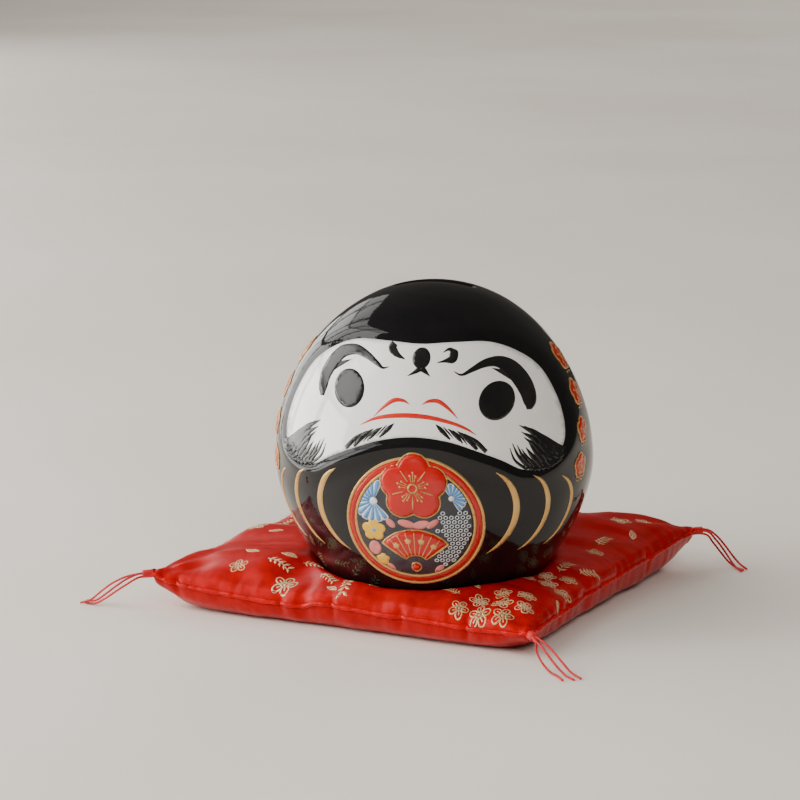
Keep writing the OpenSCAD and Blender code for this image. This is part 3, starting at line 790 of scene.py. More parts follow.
def relief(points):
    """How far the modelled hood, collar and face field stand off the plain shape, at local points in mm."""
    out = np.zeros(len(points))
    near = np.flatnonzero((points[:, 1] < 0) & (points[:, 2] > -14) & (points[:, 2] < 62))
    flat = points[near][:, [0, 2]]
    gap = rim_distance(flat, [FACE_LOOP]) if len(flat) else np.zeros(0)
    inside = crossings(flat, [FACE_LOOP])
    step = np.clip(gap / 0.9, 0, 1)
    sunk = -FACE_SINK * step * step * (3 - 2 * step)
    rim = 0.75 * step * np.exp(-((gap - 2.2) / 2.1) ** 2)
    below = np.clip((26 - flat[:, 1]) / 14, 0, 1) * np.clip((46 - np.abs(flat[:, 0])) / 12, 0, 1)
    collar = 1.1 * below * np.exp(-((gap - 3.8) / 2.6) ** 2)
    hood = 0.7 * (1 - below) * np.exp(-((gap - 4.5) / 3.4) ** 2)
    out[near] = np.where(inside, sunk, rim + (collar + hood) * step)
    return out


def at_doll(points):
    return points + (DOLL_X, DOLL_Y, MID_Z)


def outline_at(z):
    """Radius of the doll and how fast it grows with height, at heights from its widest level."""
    return np.interp(z, OUTLINE[:, 1], OUTLINE[:, 0]), np.interp(z, OUTLINE[:, 1],
                                                                 np.gradient(OUTLINE[:, 0], OUTLINE[:, 1]
                                                                             + 1e-9
                                                                             * np.arange(len(OUTLINE))))


def stadium(grow):
    """The coin slot's outline, one point for each column of the shell, widened by grow."""
    a = np.arange(COLUMNS) * math.tau / COLUMNS
    run, radius = SLOT_HALF_L - SLOT_HALF_W, SLOT_HALF_W + grow
    x = np.clip(np.cos(a) * (SLOT_HALF_L + grow) * 1.15, -run, run)
    ends = np.abs(np.cos(a)) * (SLOT_HALF_L + grow) * 1.15 > run
    lean = np.arctan2(np.sin(a) * 1.0, (np.abs(np.cos(a)) * (SLOT_HALF_L + grow) * 1.15 - run) / 4.2)
    return np.stack([np.where(ends, np.sign(np.cos(a)) * (run + radius * np.cos(lean)), x),
                     np.where(ends, radius * np.sin(lean), np.sign(np.sin(a) + 1e-12) * radius)], 1)


def crown_rows(grow, from_r, outline, count):
    """Rows between the slot's lip and a circle of the dome, laid on an outline."""
    circle = np.stack([np.cos(np.arange(COLUMNS) * math.tau / COLUMNS),
                       np.sin(np.arange(COLUMNS) * math.tau / COLUMNS)], 1)
    for t in np.linspace(0, 1, count):
        flat = stadium(grow) * (1 - t) + circle * from_r * t
        high = np.interp(-np.hypot(*flat.T), -outline[:, 0], outline[:, 1])
        yield np.column_stack([flat, high])


def round_row(r, z):
    a = np.arange(COLUMNS) * math.tau / COLUMNS
    return np.column_stack([r * np.cos(a), r * np.sin(a), np.full(COLUMNS, z)])


inner_belly = np.stack([bezier(DOLL_R - WALL, DOLL_R - WALL, FOOT_R + FOOT_PULL * (DOLL_R - WALL - FOOT_R),
                               FOOT_R, T), -bezier(0, BELLY_PULL * (BELLY_H - WALL), BELLY_H - WALL, BELLY_H
                                                   - WALL, T)], 1)[::-1]
inner_dome = np.stack([bezier(DOLL_R - WALL, DOLL_R - WALL, CROWN_PULL * (DOLL_R - WALL), 0, T),
                       bezier(0, DOME_PULL * (DOME_H - WALL), DOME_H - WALL, DOME_H - WALL, T)], 1)


def slot_row(grow, drop):
    """A row round the slot, drop mm below the dome's surface at each point."""
    flat = stadium(grow)
    return np.column_stack([flat, np.interp(-np.hypot(*stadium(SLOT_LIP).T), -DOME[:, 0], DOME[:, 1]) - drop])


rows = [slot_row(0, drop) for drop in np.linspace(WALL - 0.6, SLOT_LIP, 4)]
rows += [slot_row(SLOT_LIP * (1 - math.cos(t)), SLOT_LIP * (1 - math.sin(t))) for t in (0.4, 0.8, 1.2)]
CROWN_R = 26.0
rows += list(crown_rows(SLOT_LIP, CROWN_R, DOME, 12))
crown_z = float(np.interp(-CROWN_R, -DOME[:, 0], DOME[:, 1]))
heights = np.concatenate([np.linspace(crown_z, 3, 66)[1:], np.linspace(3, 0, 4)[1:]])
rows += [round_row(float(np.interp(z, DOME[:, 1], DOME[:, 0])), z) for z in heights]
rows += [round_row(float(np.interp(z, BELLY[:, 1], BELLY[:, 0])), z)
         for z in np.linspace(0, -BELLY_H + 0.9, 44)[1:]]
shaped_rows = (7, len(rows))
foot = -BELLY_H
for r, z in ((FOOT_R + 0.05, foot + 0.6), (FOOT_R - 0.3, foot + 0.15), (FOOT_R - 0.9, foot), (30, foot),
             (27, foot), (RECESS_R + 0.8, foot), (RECESS_R + 0.2, foot + 0.2), (RECESS_R, foot + 0.8),
             (RECESS_R, foot + RECESS_DEPTH - 0.4), (RECESS_R - 0.4, foot + RECESS_DEPTH),
             (20, foot + RECESS_DEPTH), (HOLE_R + 0.4, foot + RECESS_DEPTH),
             (HOLE_R, foot + RECESS_DEPTH + 0.3), (HOLE_R, -BELLY_H + WALL - 0.3),
             (HOLE_R + 0.3, -BELLY_H + WALL), (24, -BELLY_H + WALL)):
    rows.append(round_row(r, z))
biscuit_rows = (shaped_rows[1] + 1, None)
rows += [round_row(*p) for p in inner_belly[::40]]
rows += [round_row(*p) for p in inner_dome[20:-1:30] if p[0] > CROWN_R - WALL]
rows += list(crown_rows(0, CROWN_R - WALL - 1, inner_dome, 6))[::-1][:-1]
grid = np.array(rows)

outer = grid[shaped_rows[0]:shaped_rows[1]]
flat_points = outer.reshape(-1, 3)
around = np.hypot(flat_points[:, 0], flat_points[:, 1])
_, grows = outline_at(flat_points[:, 2])
steep = np.column_stack([flat_points[:, :2] / around[:, None], -grows])
steep /= np.linalg.norm(steep, axis=1, keepdims=True)
outer += (steep * relief(flat_points)[:, None]).reshape(outer.shape)

count = len(grid)
index = np.arange(count * COLUMNS).reshape(count, COLUMNS)
following, beside = np.roll(index, -1, axis=0), np.roll(index, -1, axis=1)
quads = np.stack([index, following, np.roll(following, -1, axis=1), beside], 2)
mesh = bpy.data.meshes.new("ceramic_body")
mesh.from_pydata((at_doll(grid.reshape(-1, 3)) * MM).tolist(), [], quads.reshape(-1, 4).tolist())
mesh.shade_smooth()
bare = np.zeros((count, COLUMNS), int)
bare[biscuit_rows[0]:] = 1
mesh.polygons.foreach_set("material_index", bare.ravel())

# Fired glaze: broad waves where it ran, fine orange peel and a few pits
skin, given = new_effect("fired_skin", {"Vector": ("Vector", None), "Wave": ("Float", 70.0)},
                         {"Height": "Float", "Pits": "Float", "Dust": "Float"})
broad = add(skin, "ShaderNodeTexNoise", {"Vector": given[0], "Scale": given[1], "Detail": 1.0})[0]
peel = add(skin, "ShaderNodeTexNoise", {"Vector": given[0], "Scale": 900.0, "Detail": 2.0})[0]
cells = add(skin, "ShaderNodeTexVoronoi", {"Vector": given[0], "Scale": 260.0})[0]
pits = maths(skin, "LESS_THAN", cells, 0.05)
dust = add(skin, "ShaderNodeTexNoise", {"Vector": given[0], "Scale": 45.0, "Detail": 6.0,
                                        "Roughness": 0.7})[0]
height = maths(skin, "ADD", broad, maths(skin, "MULTIPLY", peel, 0.06))
add(skin, "NodeGroupOutput", {0: maths(skin, "SUBTRACT", height, maths(skin, "MULTIPLY", pits, 0.15)),
                              1: pits, 2: dust})


def fired(name, dark, light, rough, wave=70.0, bump=0.25, **constants):
    """A glaze, enamel or gilding: its two shades, its range of roughness and how wavy it is."""
    mat, tree, shade = new_finish(name, **constants)
    node = tree.nodes.new("ShaderNodeGroup")
    node.node_tree = skin
    tree.links.new(object_place(tree), node.inputs[0])
    node.inputs[1].default_value = wave
    tree.links.new(ramp(tree, node.outputs["Dust"], (0.3, dark), (0.7, light)), shade["Base Color"])
    tree.links.new(add(tree, "ShaderNodeMapRange", {0: node.outputs["Dust"], 1: 0.35, 2: 0.7, 3: rough[0],
                                                    4: rough[1]})[0], shade["Roughness"])
    tree.links.new(add(tree, "ShaderNodeBump", {"Height": node.outputs["Height"], "Strength": bump,
                                                "Distance": 0.0012})[0], shade["Normal"])
    return mat


black_glaze = fired("black_glaze", (0.004, 0.004, 0.005), (0.009, 0.008, 0.008), (0.03, 0.08),
                    Specular_IOR_Level=0.36)
biscuit = fired("bare_biscuit", (0.66, 0.62, 0.56), (0.78, 0.75, 0.69), (0.75, 0.9), wave=200.0, bump=0.4)
mesh.materials.append(black_glaze)
mesh.materials.append(biscuit)
body = put("ceramic_body", mesh)
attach(body, "doll")
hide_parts("ceramic_shell")

# ---- Face ----
# The field of the face is a pool of opaque white glaze inside the black one. The features are
# brushed on it by hand and fired: black eyes, brows, mark and whiskers, and thin red lines.
FACE_RISE = 0.4
PAINT = 0.07


def on_doll(points, lift, turn=0.0):
    """Points (x, z) seen from the front, in mm, laid on the doll and turned about its axis."""
    x, z = points.T
    r, growth = outline_at(z)
    y = -np.sqrt(np.maximum(r * r - x * x, 0.01))
    away = np.stack([x / r, y / r, -growth], 1)
    away /= np.linalg.norm(away, axis=1, keepdims=True)
    c, s = math.cos(turn), math.sin(turn)
    spin = np.array([[c, s, 0], [-s, c, 0], [0, 0, 1]])
    place, away = np.stack([x, y, z], 1) @ spin, away @ spin
    return at_doll(place + away * (lift + relief(place))[:, None])


def on_face(points, lift):
    return on_doll(points, lift + FACE_RISE)


def mirrored(line):
    return [(-p[0], *p[1:]) for p in line]


white_glaze = fired("white_glaze", (0.8, 0.785, 0.76), (0.87, 0.86, 0.84), (0.07, 0.16), wave=60.0, bump=0.2,
                    Coat_Weight=0.3, Coat_Roughness=0.05)
join_layers("face_glaze_field", [inlay([FACE_LOOP], on_doll, -0.3, FACE_RISE, 0.9, 1.2, edge=0.13)],
            white_glaze, "doll", "white_glaze", "face_glaze")

# Strokes are (x, z, width) points in mm
BROW_R = [(12.8, 40.7, 0.2), (15.6, 39.5, 0.8), (19.1, 41.0, 1.7), (23.2, 42.8, 2.7), (27.7, 43.1, 3.5),
          (31.8, 41.0, 4.6), (35.5, 37.2, 5.1), (38.3, 32.8, 4.9), (39.7, 28.5, 4.1), (39.5, 26.0, 1.6)]
BROW_L = [(-10.9, 41.8, 0.2), (-13.2, 41.3, 0.8), (-15.8, 42.8, 1.7), (-20.1, 45.1, 2.6), (-24.5, 46.2, 3.3),
          (-29.6, 44.8, 4.0), (-33.2, 41.2, 4.6), (-35.7, 36.8, 4.4), (-36.6, 32.4, 3.7), (-36.4, 29.4, 1.5)]
BLACK_STROKES = [
    BROW_R, BROW_L, [(0.9, 42.0, 2.4), (-0.6, 40.8, 1.5), (-3.8, 39.1, 0.15)],
    [(0.9, 42.0, 2.4), (2.5, 40.8, 1.5), (4.5, 39.1, 0.15)],
    [(-9.6, 49.4, 2.2), (-10.2, 47.8, 3.2), (-8.2, 45.9, 1.9), (-5.1, 44.5, 0.15)],
    [(8.4, 46.9, 0.2), (10.6, 47.9, 1.1), (13.1, 46.4, 2.0)],
    [(12.6, 46.6, 2.6), (12.0, 44.8, 3.0), (9.5, 44.2, 1.2), (6.5, 43.6, 0.15)],
]
BEARD = [[(7.6, 23.0, 0.3), (9.7, 21.0, 1.6), (12.9, 17.8, 0.6)],
         [(12.0, 21.5, 0.3), (14.7, 19.3, 1.5), (17.3, 16.4, 0.6)],
         [(15.3, 20.6, 0.3), (19.1, 17.8, 1.9), (22.4, 14.0, 1.1)],
         [(17.8, 19.7, 0.2), (21.9, 16.8, 1.5), (25.6, 13.0, 1.5)],
         [(10.2, 22.3, 0.2), (11.8, 20.6, 0.6), (14.0, 18.2, 0.2)],
         [(13.7, 21.0, 0.2), (16.6, 18.6, 0.7), (19.2, 15.6, 0.2)]]
BLACK_STROKES += BEARD + [mirrored(stroke) for stroke in BEARD]
# Feathered hairs under each brow, and the whiskers of the cheeks, fanned from tips to roots
for n in range(7):
    t = n / 6
    hair = [(25.8 + 5.6 * t, 41.2 - 3.4 * t, 0.12), (28.2 + 5.4 * t, 40.3 - 3.9 * t, 0.75),
            (31.4 + 4.6 * t, 39.3 - 4.6 * t, 0.5)]
    BLACK_STROKES += [hair, [(-x, z + 1.6, w) for x, z, w in hair]]
TIPS = [(33.6, 13.6), (34.4, 15.2), (36.0, 14.4), (37.6, 12.8), (39.0, 13.2), (39.8, 15.0), (38.2, 16.8),
        (37.2, 18.8), (36.4, 21.2), (38.4, 20.6)]
MIDS = [(35.5, 9.0), (36.8, 10.2), (38.4, 9.6), (40.0, 8.8), (41.4, 9.6), (42.6, 10.8), (42.7, 12.6),
        (42.6, 14.8), (42.5, 17.0), (44.2, 15.6)]
ROOTS = [(39.6, 5.2), (41.0, 4.9), (42.4, 4.7), (43.8, 4.6), (45.2, 4.7), (46.6, 4.9), (48.0, 5.4),
         (49.4, 6.2), (50.4, 7.6), (50.6, 9.4)]
for n, (tip, mid, root) in enumerate(zip(TIPS, MIDS, ROOTS)):
    full = 0.85 + 0.17 * n
    whisker = [(*tip, 0.14), (*mid, full), (*root, full * 1.35)]
    BLACK_STROKES += [whisker, mirrored(whisker)]

ink = fired("black_brushwork", (0.006, 0.006, 0.007), (0.018, 0.016, 0.015), (0.1, 0.2), wave=150.0, bump=0.2)
layers = [inlay([brush(stroke)], on_face, -0.05, PAINT, 0.2, 0.8, edge=0.045) for stroke in BLACK_STROKES]
for x, z, rx, rz, lean in ((28.4, 30.2, 6.2, 6.6, 0.12), (-25.6, 33.4, 6.0, 6.5, -0.12),
                           (0.8, 45.0, 3.3, 3.5, 0.0), (12.3, 46.2, 1.6, 1.7, 0.0)):
    layers.append(inlay([arc(x, z, rx, rz, lean)], on_face, -0.05, PAINT + 0.02, 0.3, 1.0, edge=0.045))
join_layers("face_black_brushwork", layers, ink, "doll", "black_glaze")

red_line = fired("red_brushwork", (0.5, 0.018, 0.01), (0.66, 0.035, 0.018), (0.15, 0.28), wave=150.0,
                 bump=0.2)
NOSTRIL = [(2.2, 29.7, 0.15), (4.7, 30.9, 1.05), (8.2, 30.8, 1.45), (12.0, 28.2, 1.0), (15.3, 24.9, 0.15)]
MOUTH = [(-20.4, 21.6, 0.15), (-15.0, 24.2, 1.05), (-8.8, 25.5, 1.5), (-1.9, 25.9, 1.65), (5.6, 25.3, 1.5),
         (13.0, 23.5, 1.2), (18.2, 21.4, 0.9), (21.9, 19.1, 0.15)]
join_layers("face_red_brushwork", [inlay([brush(stroke)], on_face, -0.05, PAINT, 0.2, 0.8, edge=0.045)
                                   for stroke in (NOSTRIL, mirrored(NOSTRIL), MOUTH)], red_line, "doll",
            "red_enamel")

# ---- Gilt crescents ----
# Three bands on each side of the belly stand for the folds of the robe. Each is one loaded
# stroke of gold lustre, thick in the middle and drawn to a point at both ends.
gilt = fired("gold_lustre", (0.56, 0.31, 0.085), (0.78, 0.5, 0.19), (0.24, 0.4), wave=160.0, bump=0.1,
             Metallic=0.62)
for side, hand in (("left", -1), ("right", 1)):
    layers = []
    for k in range(3):
        chord, bulge, thick = 32 - 2.5 * k, 9.5, 2.7 - 0.3 * k
        radius = (chord * chord / 4 + bulge * bulge) / (2 * bulge)
        reach = math.asin(chord / 2 / radius)
        line = [(hand * (bulge - radius - thick / 2 + radius * math.cos(a)), -10.5 - 1.2 * k + radius
                 * math.sin(a), 0.12 + thick * max(0, 1 - (a / reach) ** 2) ** 0.8)
                for a in np.linspace(-reach, reach, 11)]
        turn = hand * math.radians(30 + 14.5 * k)
        layers.append(inlay([brush(line, 4)], lambda p, lift, turn=turn: on_doll(p, lift, turn), -0.1, 0.32,
                            0.7, 0.8, edge=0.06))
    join_layers(f"gilt_crescents_{side}", layers, gilt, "doll", "gilt", f"gilt_bands_{side}")

# ---- Medallion ----
# A round badge is enamelled on the belly: a dark ground, a red band between two gold lines, and
# a raised red blossom over a raised red fan, both edged with gold.
MEDAL_Z = -13.5


def blossom(petal, ring, x=0.0, z=0.0, steps=90):
    """The outline of five round petals that overlap, with their tops at the petals' middle."""
    a = np.arange(steps) * math.tau / steps
    lean = (a - math.pi / 2 + math.pi / 5) % (math.tau / 5) - math.pi / 5
    r = ring * np.cos(lean) + np.sqrt(np.maximum(petal ** 2 - (ring * np.sin(lean)) ** 2, 0.01))
    return np.stack([x + r * np.cos(a), z + r * np.sin(a)], 1)


def fan_blade(r_out, r_in, spread, z):
    a = np.linspace(-spread, spread, 25)
    return np.vstack([np.stack([r_out * np.sin(a), z + r_out * np.cos(a)], 1)[::-1],
                      np.stack([r_in * np.sin(a), z + r_in * np.cos(a)], 1)])


enamel = fired("red_enamel", (0.42, 0.003, 0.003), (0.56, 0.007, 0.005), (0.16, 0.32), wave=140.0, bump=0.5,
               Coat_Weight=0.2)
ground = fired("charcoal_ground", (0.02, 0.023, 0.03), (0.05, 0.05, 0.06), (0.2, 0.35), wave=200.0, bump=0.3)
join_layers("medallion_dark_ground", [inlay([arc(-0.3, MEDAL_Z, 21.5, steps=80)], on_doll, -0.15, 0.16, 0.4,
                                            1.5)], ground, "doll", "charcoal_enamel", "medallion_ground")
join_layers("medallion_red_band", [inlay([arc(0, MEDAL_Z, 24.4, steps=110), arc(0, MEDAL_Z, 22.2, steps=100)],
                                         on_doll, -0.15, 0.28, 0.4, 1.0)], enamel, "doll", "red_enamel",
            "medallion_band")
join_layers("medallion_gold_lines", [inlay([arc(0, MEDAL_Z, a, steps=120), arc(0, MEDAL_Z, b, steps=120)],
                                           on_doll, -0.15, 0.5, 0.6, 0.6) for a,
                                     b in ((25.4, 24.3), (22.3, 21.2))], gilt, "doll", "gilt",
            "medallion_gilt_lines")

BLOSSOM_Z, FAN_Z, FAN_SPREAD = 0.5, -31.0, math.radians(50)
join_layers("blossom_enamel", [inlay([blossom(5.6, 6.6, 0, BLOSSOM_Z)], on_doll, -0.1, 1.25, 1.5, 0.9)],
            enamel, "doll", "red_enamel", "blossom_relief")
blades = [inlay([fan_blade(15, 5, FAN_SPREAD, FAN_Z)], on_doll, -0.1, 1.2, 1.2, 0.9),
          inlay([arc(0, FAN_Z, 1.5)], on_doll, -0.1, 1.2, 0.8, 0.5)]
join_layers("fan_enamel", blades, enamel, "doll", "red_enamel", "fan_relief")

edging = [inlay([blossom(6.15, 6.6, 0, BLOSSOM_Z), blossom(5.5, 6.6, 0, BLOSSOM_Z)], on_doll, -0.1, 0.8, 0.4,
                0.5), inlay([fan_blade(15.55, 4.5, FAN_SPREAD + 0.06, FAN_Z),
                             fan_blade(14.95, 5.05, FAN_SPREAD - 0.01, FAN_Z)], on_doll, -0.1, 0.8, 0.4, 0.5),
          inlay([arc(0, FAN_Z, 2.0), arc(0, FAN_Z, 1.45)], on_doll, -0.1, 0.8, 0.3, 0.4),
          inlay([arc(0, BLOSSOM_Z, 1.9), arc(0, BLOSSOM_Z, 1.2)], on_doll, 1.1, 1.5, 0.3, 0.4, edge=1.32)]
for k in range(5):
    a = math.pi / 2 + math.tau * k / 5
    split = [(3.0 * math.cos(a + 0.628), BLOSSOM_Z + 3.0 * math.sin(a + 0.628), 0.2),
             (5.2 * math.cos(a + 0.628), BLOSSOM_Z + 5.2 * math.sin(a + 0.628), 0.42),
             (7.6 * math.cos(a + 0.628), BLOSSOM_Z + 7.6 * math.sin(a + 0.628), 0.3)]
    edging.append(inlay([brush(split, 4)], on_doll, 0.9, 1.4, 0.2, 0.5, edge=1.3))
    for lean, far in ((-0.28, 4.6), (0.0, 5.6), (0.28, 4.6)):
        stalk = [(d * math.cos(a + lean * 0.8), BLOSSOM_Z + d * math.sin(a + lean * 0.8), 0.24)
                 for d in (2.2, far / 2 + 1, far)]
        edging.append(inlay([brush(stalk, 3)], on_doll, 1.1, 1.42, 0.2, 0.5, edge=1.32))
        edging.append(inlay([arc(far * math.cos(a + lean * 0.8), BLOSSOM_Z + far * math.sin(a + lean * 0.8),
                                 0.42, steps=12)], on_doll, 1.1, 1.5, 0.3, 0.4, edge=1.32))
for a in np.linspace(-FAN_SPREAD, FAN_SPREAD, 9)[1:-1]:
    rib = [(d * math.sin(a), FAN_Z + d * math.cos(a), 0.34) for d in (5.4, 8, 11, 14.6)]
    edging.append(inlay([brush(rib, 3)], on_doll, 0.9, 1.36, 0.2, 0.6, edge=1.26))
for a in (-0.62, -0.2, 0.22, 0.64):
    edging.append(inlay([blossom(0.62, 0.75, 11.4 * math.sin(a), FAN_Z + 11.4 * math.cos(a), 30)], on_doll,
                        1.0, 1.42, 0.3, 0.5))
join_layers("relief_gold_edging", edging, gilt, "doll", "gilt", "relief_outline")

# ---- Flowers and rings of the medallion's ground ----
# Transfer-printed ornament on the dark ground round the reliefs: blue chrysanthemums with white
# edges, yellow blossoms, pink clouds, and a lattice of fine white rings.
def enamelled(name, dark, light):
    return fired(name, dark, light, (0.2, 0.35), wave=200.0, bump=0.3)


blue, pearl = enamelled("blue_enamel", (0.05, 0.21, 0.5), (0.15, 0.38, 0.68)), enamelled(
    "pearl_enamel", (0.62, 0.66, 0.7), (0.82, 0.84, 0.86))
yellow, pink = enamelled("yellow_enamel", (0.7, 0.36, 0.015), (0.86, 0.52, 0.05)), enamelled(
    "pink_enamel", (0.62, 0.13, 0.12), (0.8, 0.3, 0.26))
PRINT = 0.24


def on_ground(loop):
    """A printed outline, kept within the medallion's ground."""
    loop = loop - (0, MEDAL_Z)
    far = np.linalg.norm(loop, axis=1, keepdims=True)
    return loop * np.minimum(1, 21.0 / far) + (0, MEDAL_Z)


petals, edges = [], []
for x, z, size, first, last in ((-14.6, -5.2, 8.2, 1.35, 5.6), (13.6, -3.4, 5.6, -0.9, 2.2)):
    for a in np.arange(first, last, 0.36):
        for layer, near, far, wide, rise in ((edges, 0.16, 1.0, 0.33, PRINT),
                                             (petals, 0.2, 0.95, 0.2, PRINT + 0.07)):
            stroke = [(x + size * d * math.cos(a), z + size * d * math.sin(a), w * size) for d, w in
                      ((near, 0.06), ((near + far) / 2, wide * 0.75), (far - 0.08, wide), (far, wide * 0.5))]
            layer.append(inlay([on_ground(brush(stroke, 3))], on_doll, 0.05, rise, 0.3, 0.9, edge=rise
                               - 0.05))
    edges.append(inlay([arc(x, z, size * 0.17, steps=16)], on_doll, 0.05, PRINT + 0.12, 0.3, 0.7, edge=PRINT
                       + 0.08))
blooms, clouds = [], []
for x, z, petal in ((-15.0, -16.6, 2.1), (-12.2, -28.6, 1.2)):
    blooms.append(inlay([blossom(petal, petal * 1.2, x, z, 50)], on_doll, 0.05, PRINT + 0.06, 0.4, 0.8))
    petals.append(inlay([arc(x, z, petal * 0.5, steps=12)], on_doll, 0.05, PRINT + 0.14, 0.2, 0.5))
for x, z, rx, rz in ((-2.6, -13.4, 3.4, 1.5), (2.6, -13.6, 3.2, 1.6), (6.8, -13.2, 2.6, 1.2),
                     (-8.6, -13.4, 2.2, 1.3), (-15.0, -24.0, 2.9, 2.3), (-9.4, -32.0, 2.1, 1.3),
                     (8.2, -32.0, 2.2, 1.2)):
    clouds.append(inlay([on_ground(arc(x, z, rx, rz, 0.1 * x, 22))], on_doll, 0.02 + 0.004 * rx, PRINT - 0.04
                        + 0.01 * rx, 0.5, 0.8, edge=0.18))
for name, layers, finish, slot in (("medallion_pearl_edges", edges, pearl, "white_glaze"),
                                   ("medallion_blue_petals", petals, blue, "charcoal_enamel"),
                                   ("medallion_yellow_blossoms", blooms, yellow, "gilt"),
                                   ("medallion_pink_clouds", clouds, pink, "red_enamel")):
    join_layers(name, layers, finish, "doll", slot)

ring_maker, given = new_maker("ring_lattice", Size="Float", Wire="Float", Finish="Material")
hoop = add(ring_maker, "GeometryNodeCurvePrimitiveCircle", {"Resolution": 6, "Radius": given["Size"]})[0]
hoop = add(ring_maker, "GeometryNodeCurveToMesh", {"Curve": hoop, "Profile Curve": add(
    ring_maker, "GeometryNodeCurvePrimitiveCircle", {"Resolution": 4, "Radius": given["Wire"]})[0]})[0]
facing = add(ring_maker, "FunctionNodeAlignRotationToVector",
             {"Vector": add(ring_maker, "GeometryNodeInputNormal")[0]})[0]
spread = add(ring_maker, "GeometryNodeInstanceOnPoints",
             {"Points": given[0], "Instance": hoop, "Rotation": facing})[0]
end_maker(ring_maker, spread, given["Finish"])

LATTICE_STEP = 2.0
spots = np.array([(6.5 + LATTICE_STEP * (i + 0.5 * (j % 2)), -9.0 - LATTICE_STEP * 0.87 * j) for i in range(8)
                  for j in range(13)])
reach = np.hypot(spots[:, 0], spots[:, 1] - MEDAL_Z)
clear = ~(crossings(spots, [blossom(7.2, 6.6, 0, BLOSSOM_Z)])
          | crossings(spots, [fan_blade(16.6, 3, FAN_SPREAD + 0.1, FAN_Z)]))
for x, z, keep in ((8.2, -32.0, 3.0), (6.8, -13.2, 3.0), (13.6, -3.4, 6.2)):
    clear &= np.hypot(spots[:, 0] - x, spots[:, 1] - z) > keep
spots = spots[(reach < 20.4) & clear & (spots[:, 0] + 0.5 * spots[:, 1] > -7)]
corners = np.vstack([on_doll(spots + step, np.full(len(spots), PRINT))
                     for step in ((0, 0), (0.05, 0), (0, 0.05))]) * MM
n = len(spots)
base = bpy.data.meshes.new("lattice_points")
base.from_pydata(corners.tolist(), [], [(i, i + n, i + 2 * n) for i in range(n)])
lattice = made("medallion_ring_lattice", ring_maker, base, Size=0.72 * MM, Wire=0.17 * MM, Finish=pearl)
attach(lattice, "doll")

# ---- Side sprigs ----
# Four small red enamel blossoms, with gold edges and stamens, climb each side of the doll in an
# arc, with two gold leaves under each.
SPRIGS = [(71, 2), (75, 14.5), (79, 27.5), (82, 40)]
for side, hand in (("left", -1), ("right", 1)):
    red_parts, gold_parts = [], []
    for degrees, z in SPRIGS:
        turn = hand * math.radians(degrees)

        def lay(points, lift, turn=turn):
            return on_doll(points, lift, turn)

        red_parts.append(inlay([blossom(2.05, 2.45, 0, z, 60)], lay, -0.1, 0.5, 0.5, 0.7))
        gold_parts.append(inlay([blossom(2.6, 2.5, 0, z, 60), blossom(2.0, 2.42, 0, z, 60)], lay, -0.1, 0.42,
                                0.3, 0.5, edge=0.3))
        gold_parts.append(inlay([arc(0, z, 0.75, steps=16), arc(0, z, 0.3, steps=12)], lay, 0.3, 0.72, 0.2,
                                0.4, edge=0.66))
        for k in range(5):
            a = math.pi / 2 + math.tau * k / 5
            stalk = [(d * math.cos(a), z + d * math.sin(a), 0.26) for d in (0.8, 1.7, 2.7)]
            gold_parts.append(inlay([brush(stalk, 3)], lay, 0.3, 0.68, 0.15, 0.5, edge=0.62))
            gold_parts.append(inlay([arc(2.7 * math.cos(a), z + 2.7 * math.sin(a), 0.38, steps=10)], lay, 0.3,
                                    0.72, 0.2, 0.4, edge=0.66))
        for flip in (1, -1):
            leaf = [(0.3 * flip, z - 5.0, 0.15), (1.3 * flip, z - 5.6, 0.7), (2.5 * flip, z - 5.4, 0.12)]
            gold_parts.append(inlay([brush(leaf, 4)], lay, -0.06, 0.2, 0.25, 0.5))
    join_layers(f"side_blossoms_{side}", red_parts, enamel, "doll", "red_enamel", f"side_sprigs_{side}")
    join_layers(f"side_gold_{side}", gold_parts, gilt, "doll", "gilt")

# ---- Stopper ----
# A soft rubber plug, moulded in one piece, pushes into the hole in the base. Its flange fills the
# recess inside the foot ring, with two finger dents that leave a bar to pull on.
FLANGE_R, FLANGE_T, PLUG_R, PLUG_L = 19.0, 1.8, 14.95, 6.0
flange_low = FOOT_Z + RECESS_DEPTH - FLANGE_T
face_r = np.concatenate([np.linspace(0, 12, 34)[1:], [13.5, 13.8, 14.1, 15.5, 16.6, 16.9, 17.2, 18.2, 18.7]])
face_z = flange_low + np.select([np.isin(face_r, (13.8, 16.9))], [0.22], 0.0)
profile = list(zip(face_r, face_z)) + [
    (18.93, flange_low + 0.25), (FLANGE_R, flange_low + 0.6), (FLANGE_R, flange_low + FLANGE_T - 0.4),
    (18.8, flange_low + FLANGE_T), (PLUG_R + 0.3, flange_low + FLANGE_T),
    (PLUG_R - 0.25, flange_low + FLANGE_T + 0.4), (PLUG_R - 0.25, flange_low + 3.6),
    (PLUG_R, flange_low + 4.4), (PLUG_R, flange_low + 5.4), (PLUG_R - 0.5, flange_low + 6.9),
    (PLUG_R - 1.3, flange_low + FLANGE_T + PLUG_L), (12.6, flange_low + FLANGE_T + PLUG_L),
    (12.1, flange_low + 7.3), (12, flange_low + 3.4), (11.4, flange_low + FLANGE_T + 1.0),
    (6, flange_low + FLANGE_T + 1.0)]
SPOKES = 128
a = np.arange(SPOKES) * math.tau / SPOKES
points = np.array([(r * math.cos(t), r * math.sin(t), z) for r, z in profile for t in a])
lying = np.flatnonzero(np.abs(points[:, 2] - flange_low) < 0.01)
x, y = np.abs(points[lying, 0]), points[lying, 1]
dent = np.clip((4.5 - np.hypot(x - 6, y)) / 1.2, 0, 1) * np.clip((x - 4.5) / 0.9, 0, 1)
points[lying, 2] += 1.15 * dent * dent * (3 - 2 * dent)
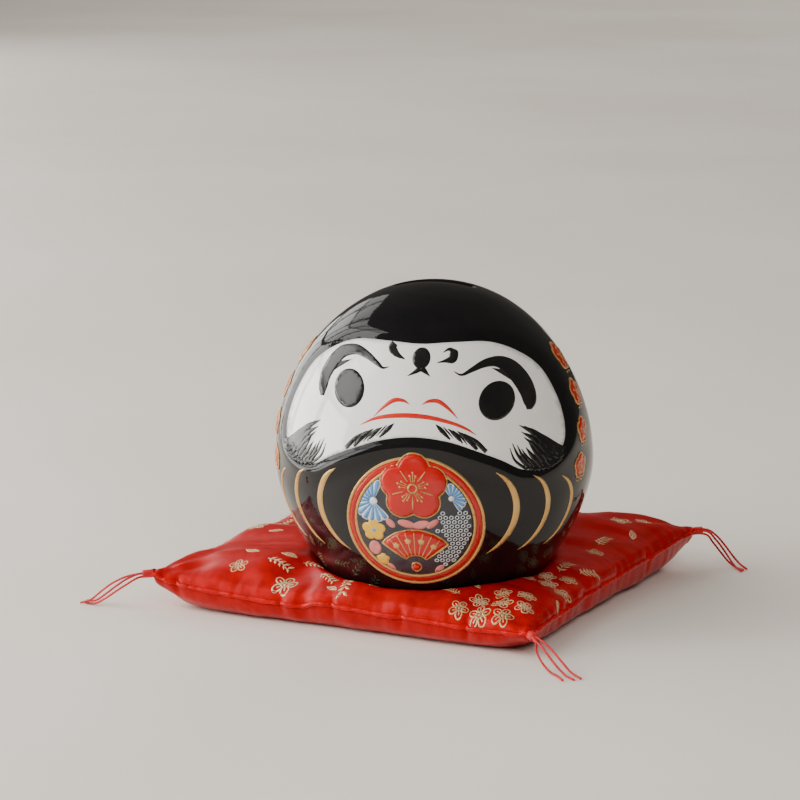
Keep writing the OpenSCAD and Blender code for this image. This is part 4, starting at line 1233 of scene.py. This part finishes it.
points = np.vstack([points, [(0, 0, flange_low), (0, 0, flange_low + FLANGE_T + 1.0)]])
faces = []
for i in range(len(profile) - 1):
    for k in range(SPOKES):
        m = (k + 1) % SPOKES
        faces.append((i * SPOKES + k, i * SPOKES + m, (i + 1) * SPOKES + m, (i + 1) * SPOKES + k))
last = (len(profile) - 1) * SPOKES
for k in range(SPOKES):
    m = (k + 1) % SPOKES
    faces += [(len(points) - 2, m, k), (len(points) - 1, last + k, last + m)]
mesh = bpy.data.meshes.new("stopper_plug")
mesh.from_pydata(((points + (DOLL_X, DOLL_Y, 0)) * MM).tolist(), [], [tuple(reversed(f)) for f in faces])
mesh.shade_smooth()
mesh.materials.append(fired("grey_rubber", (0.5, 0.48, 0.45), (0.62, 0.6, 0.57), (0.5, 0.68), wave=300.0,
                            bump=0.35))
stopper = put("stopper_plug", mesh)
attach(stopper, "stopper")
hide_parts("stopper")

# ---- Table and light ----
# A plain pale table top. Daylight comes through a tall paned window on the left, and the room
# gives the rest.
TOP_HALF = 6.0
table_mesh = bpy.data.meshes.new("table_top")
table_mesh.from_pydata([(-TOP_HALF, -TOP_HALF, 0), (TOP_HALF, -TOP_HALF, 0), (TOP_HALF, TOP_HALF, 0),
                        (-TOP_HALF, TOP_HALF, 0)], [], [(0, 1, 2, 3)])
table, tree, shade = new_finish("pale_table", Roughness=0.6)
grain = add(tree, "ShaderNodeTexNoise", {"Vector": object_place(tree), "Scale": 3.0, "Detail": 5.0})[0]
tree.links.new(ramp(tree, grain, (0.35, (0.74, 0.69, 0.62)), (0.65, (0.8, 0.76, 0.7))), shade["Base Color"])
table_mesh.materials.append(table)
put("table_top", table_mesh)


def soft_light(name, place, target, size, power, colour):
    light = bpy.data.lights.new(name, "AREA")
    light.shape = "RECTANGLE"
    light.size, light.size_y = size
    light.energy = power
    light.color = colour
    lamp = put(name, light)
    aim(lamp, place, target)
    return lamp


for row in range(3):
    for column in range(5):
        across, up = -0.3 + 0.62 * column, 0.24 + 0.54 * row
        soft_light(f"window_pane_{row}_{column}", (-1.05, across, up), (0, across, up - 0.1), (0.53, 0.46),
                   6.0 * 0.62 ** row * 0.8 ** column, (1, 0.985, 0.96))
for name, place, size, power in (("window_glow", (-1.0, -0.7, 0.9), (1.4, 1.2), 20.0),
                                 ("room_front", (0.7, -1.6, 1.3), (1.1, 0.8), 20.0),
                                 ("room_back", (0.8, 3.9, 2.6), (4.0, 2.6), 95.0)):
    soft_light(name, place, (0, 0, 0.05), size, power, (1, 0.96, 0.91)).visible_glossy = False

world = bpy.data.worlds.new("room")
bpy.context.scene.world = world
world.use_nodes = True
world.node_tree.nodes["Background"].inputs[0].default_value = (0.5, 0.46, 0.41, 1)
world.node_tree.nodes["Background"].inputs[1].default_value = 0.22
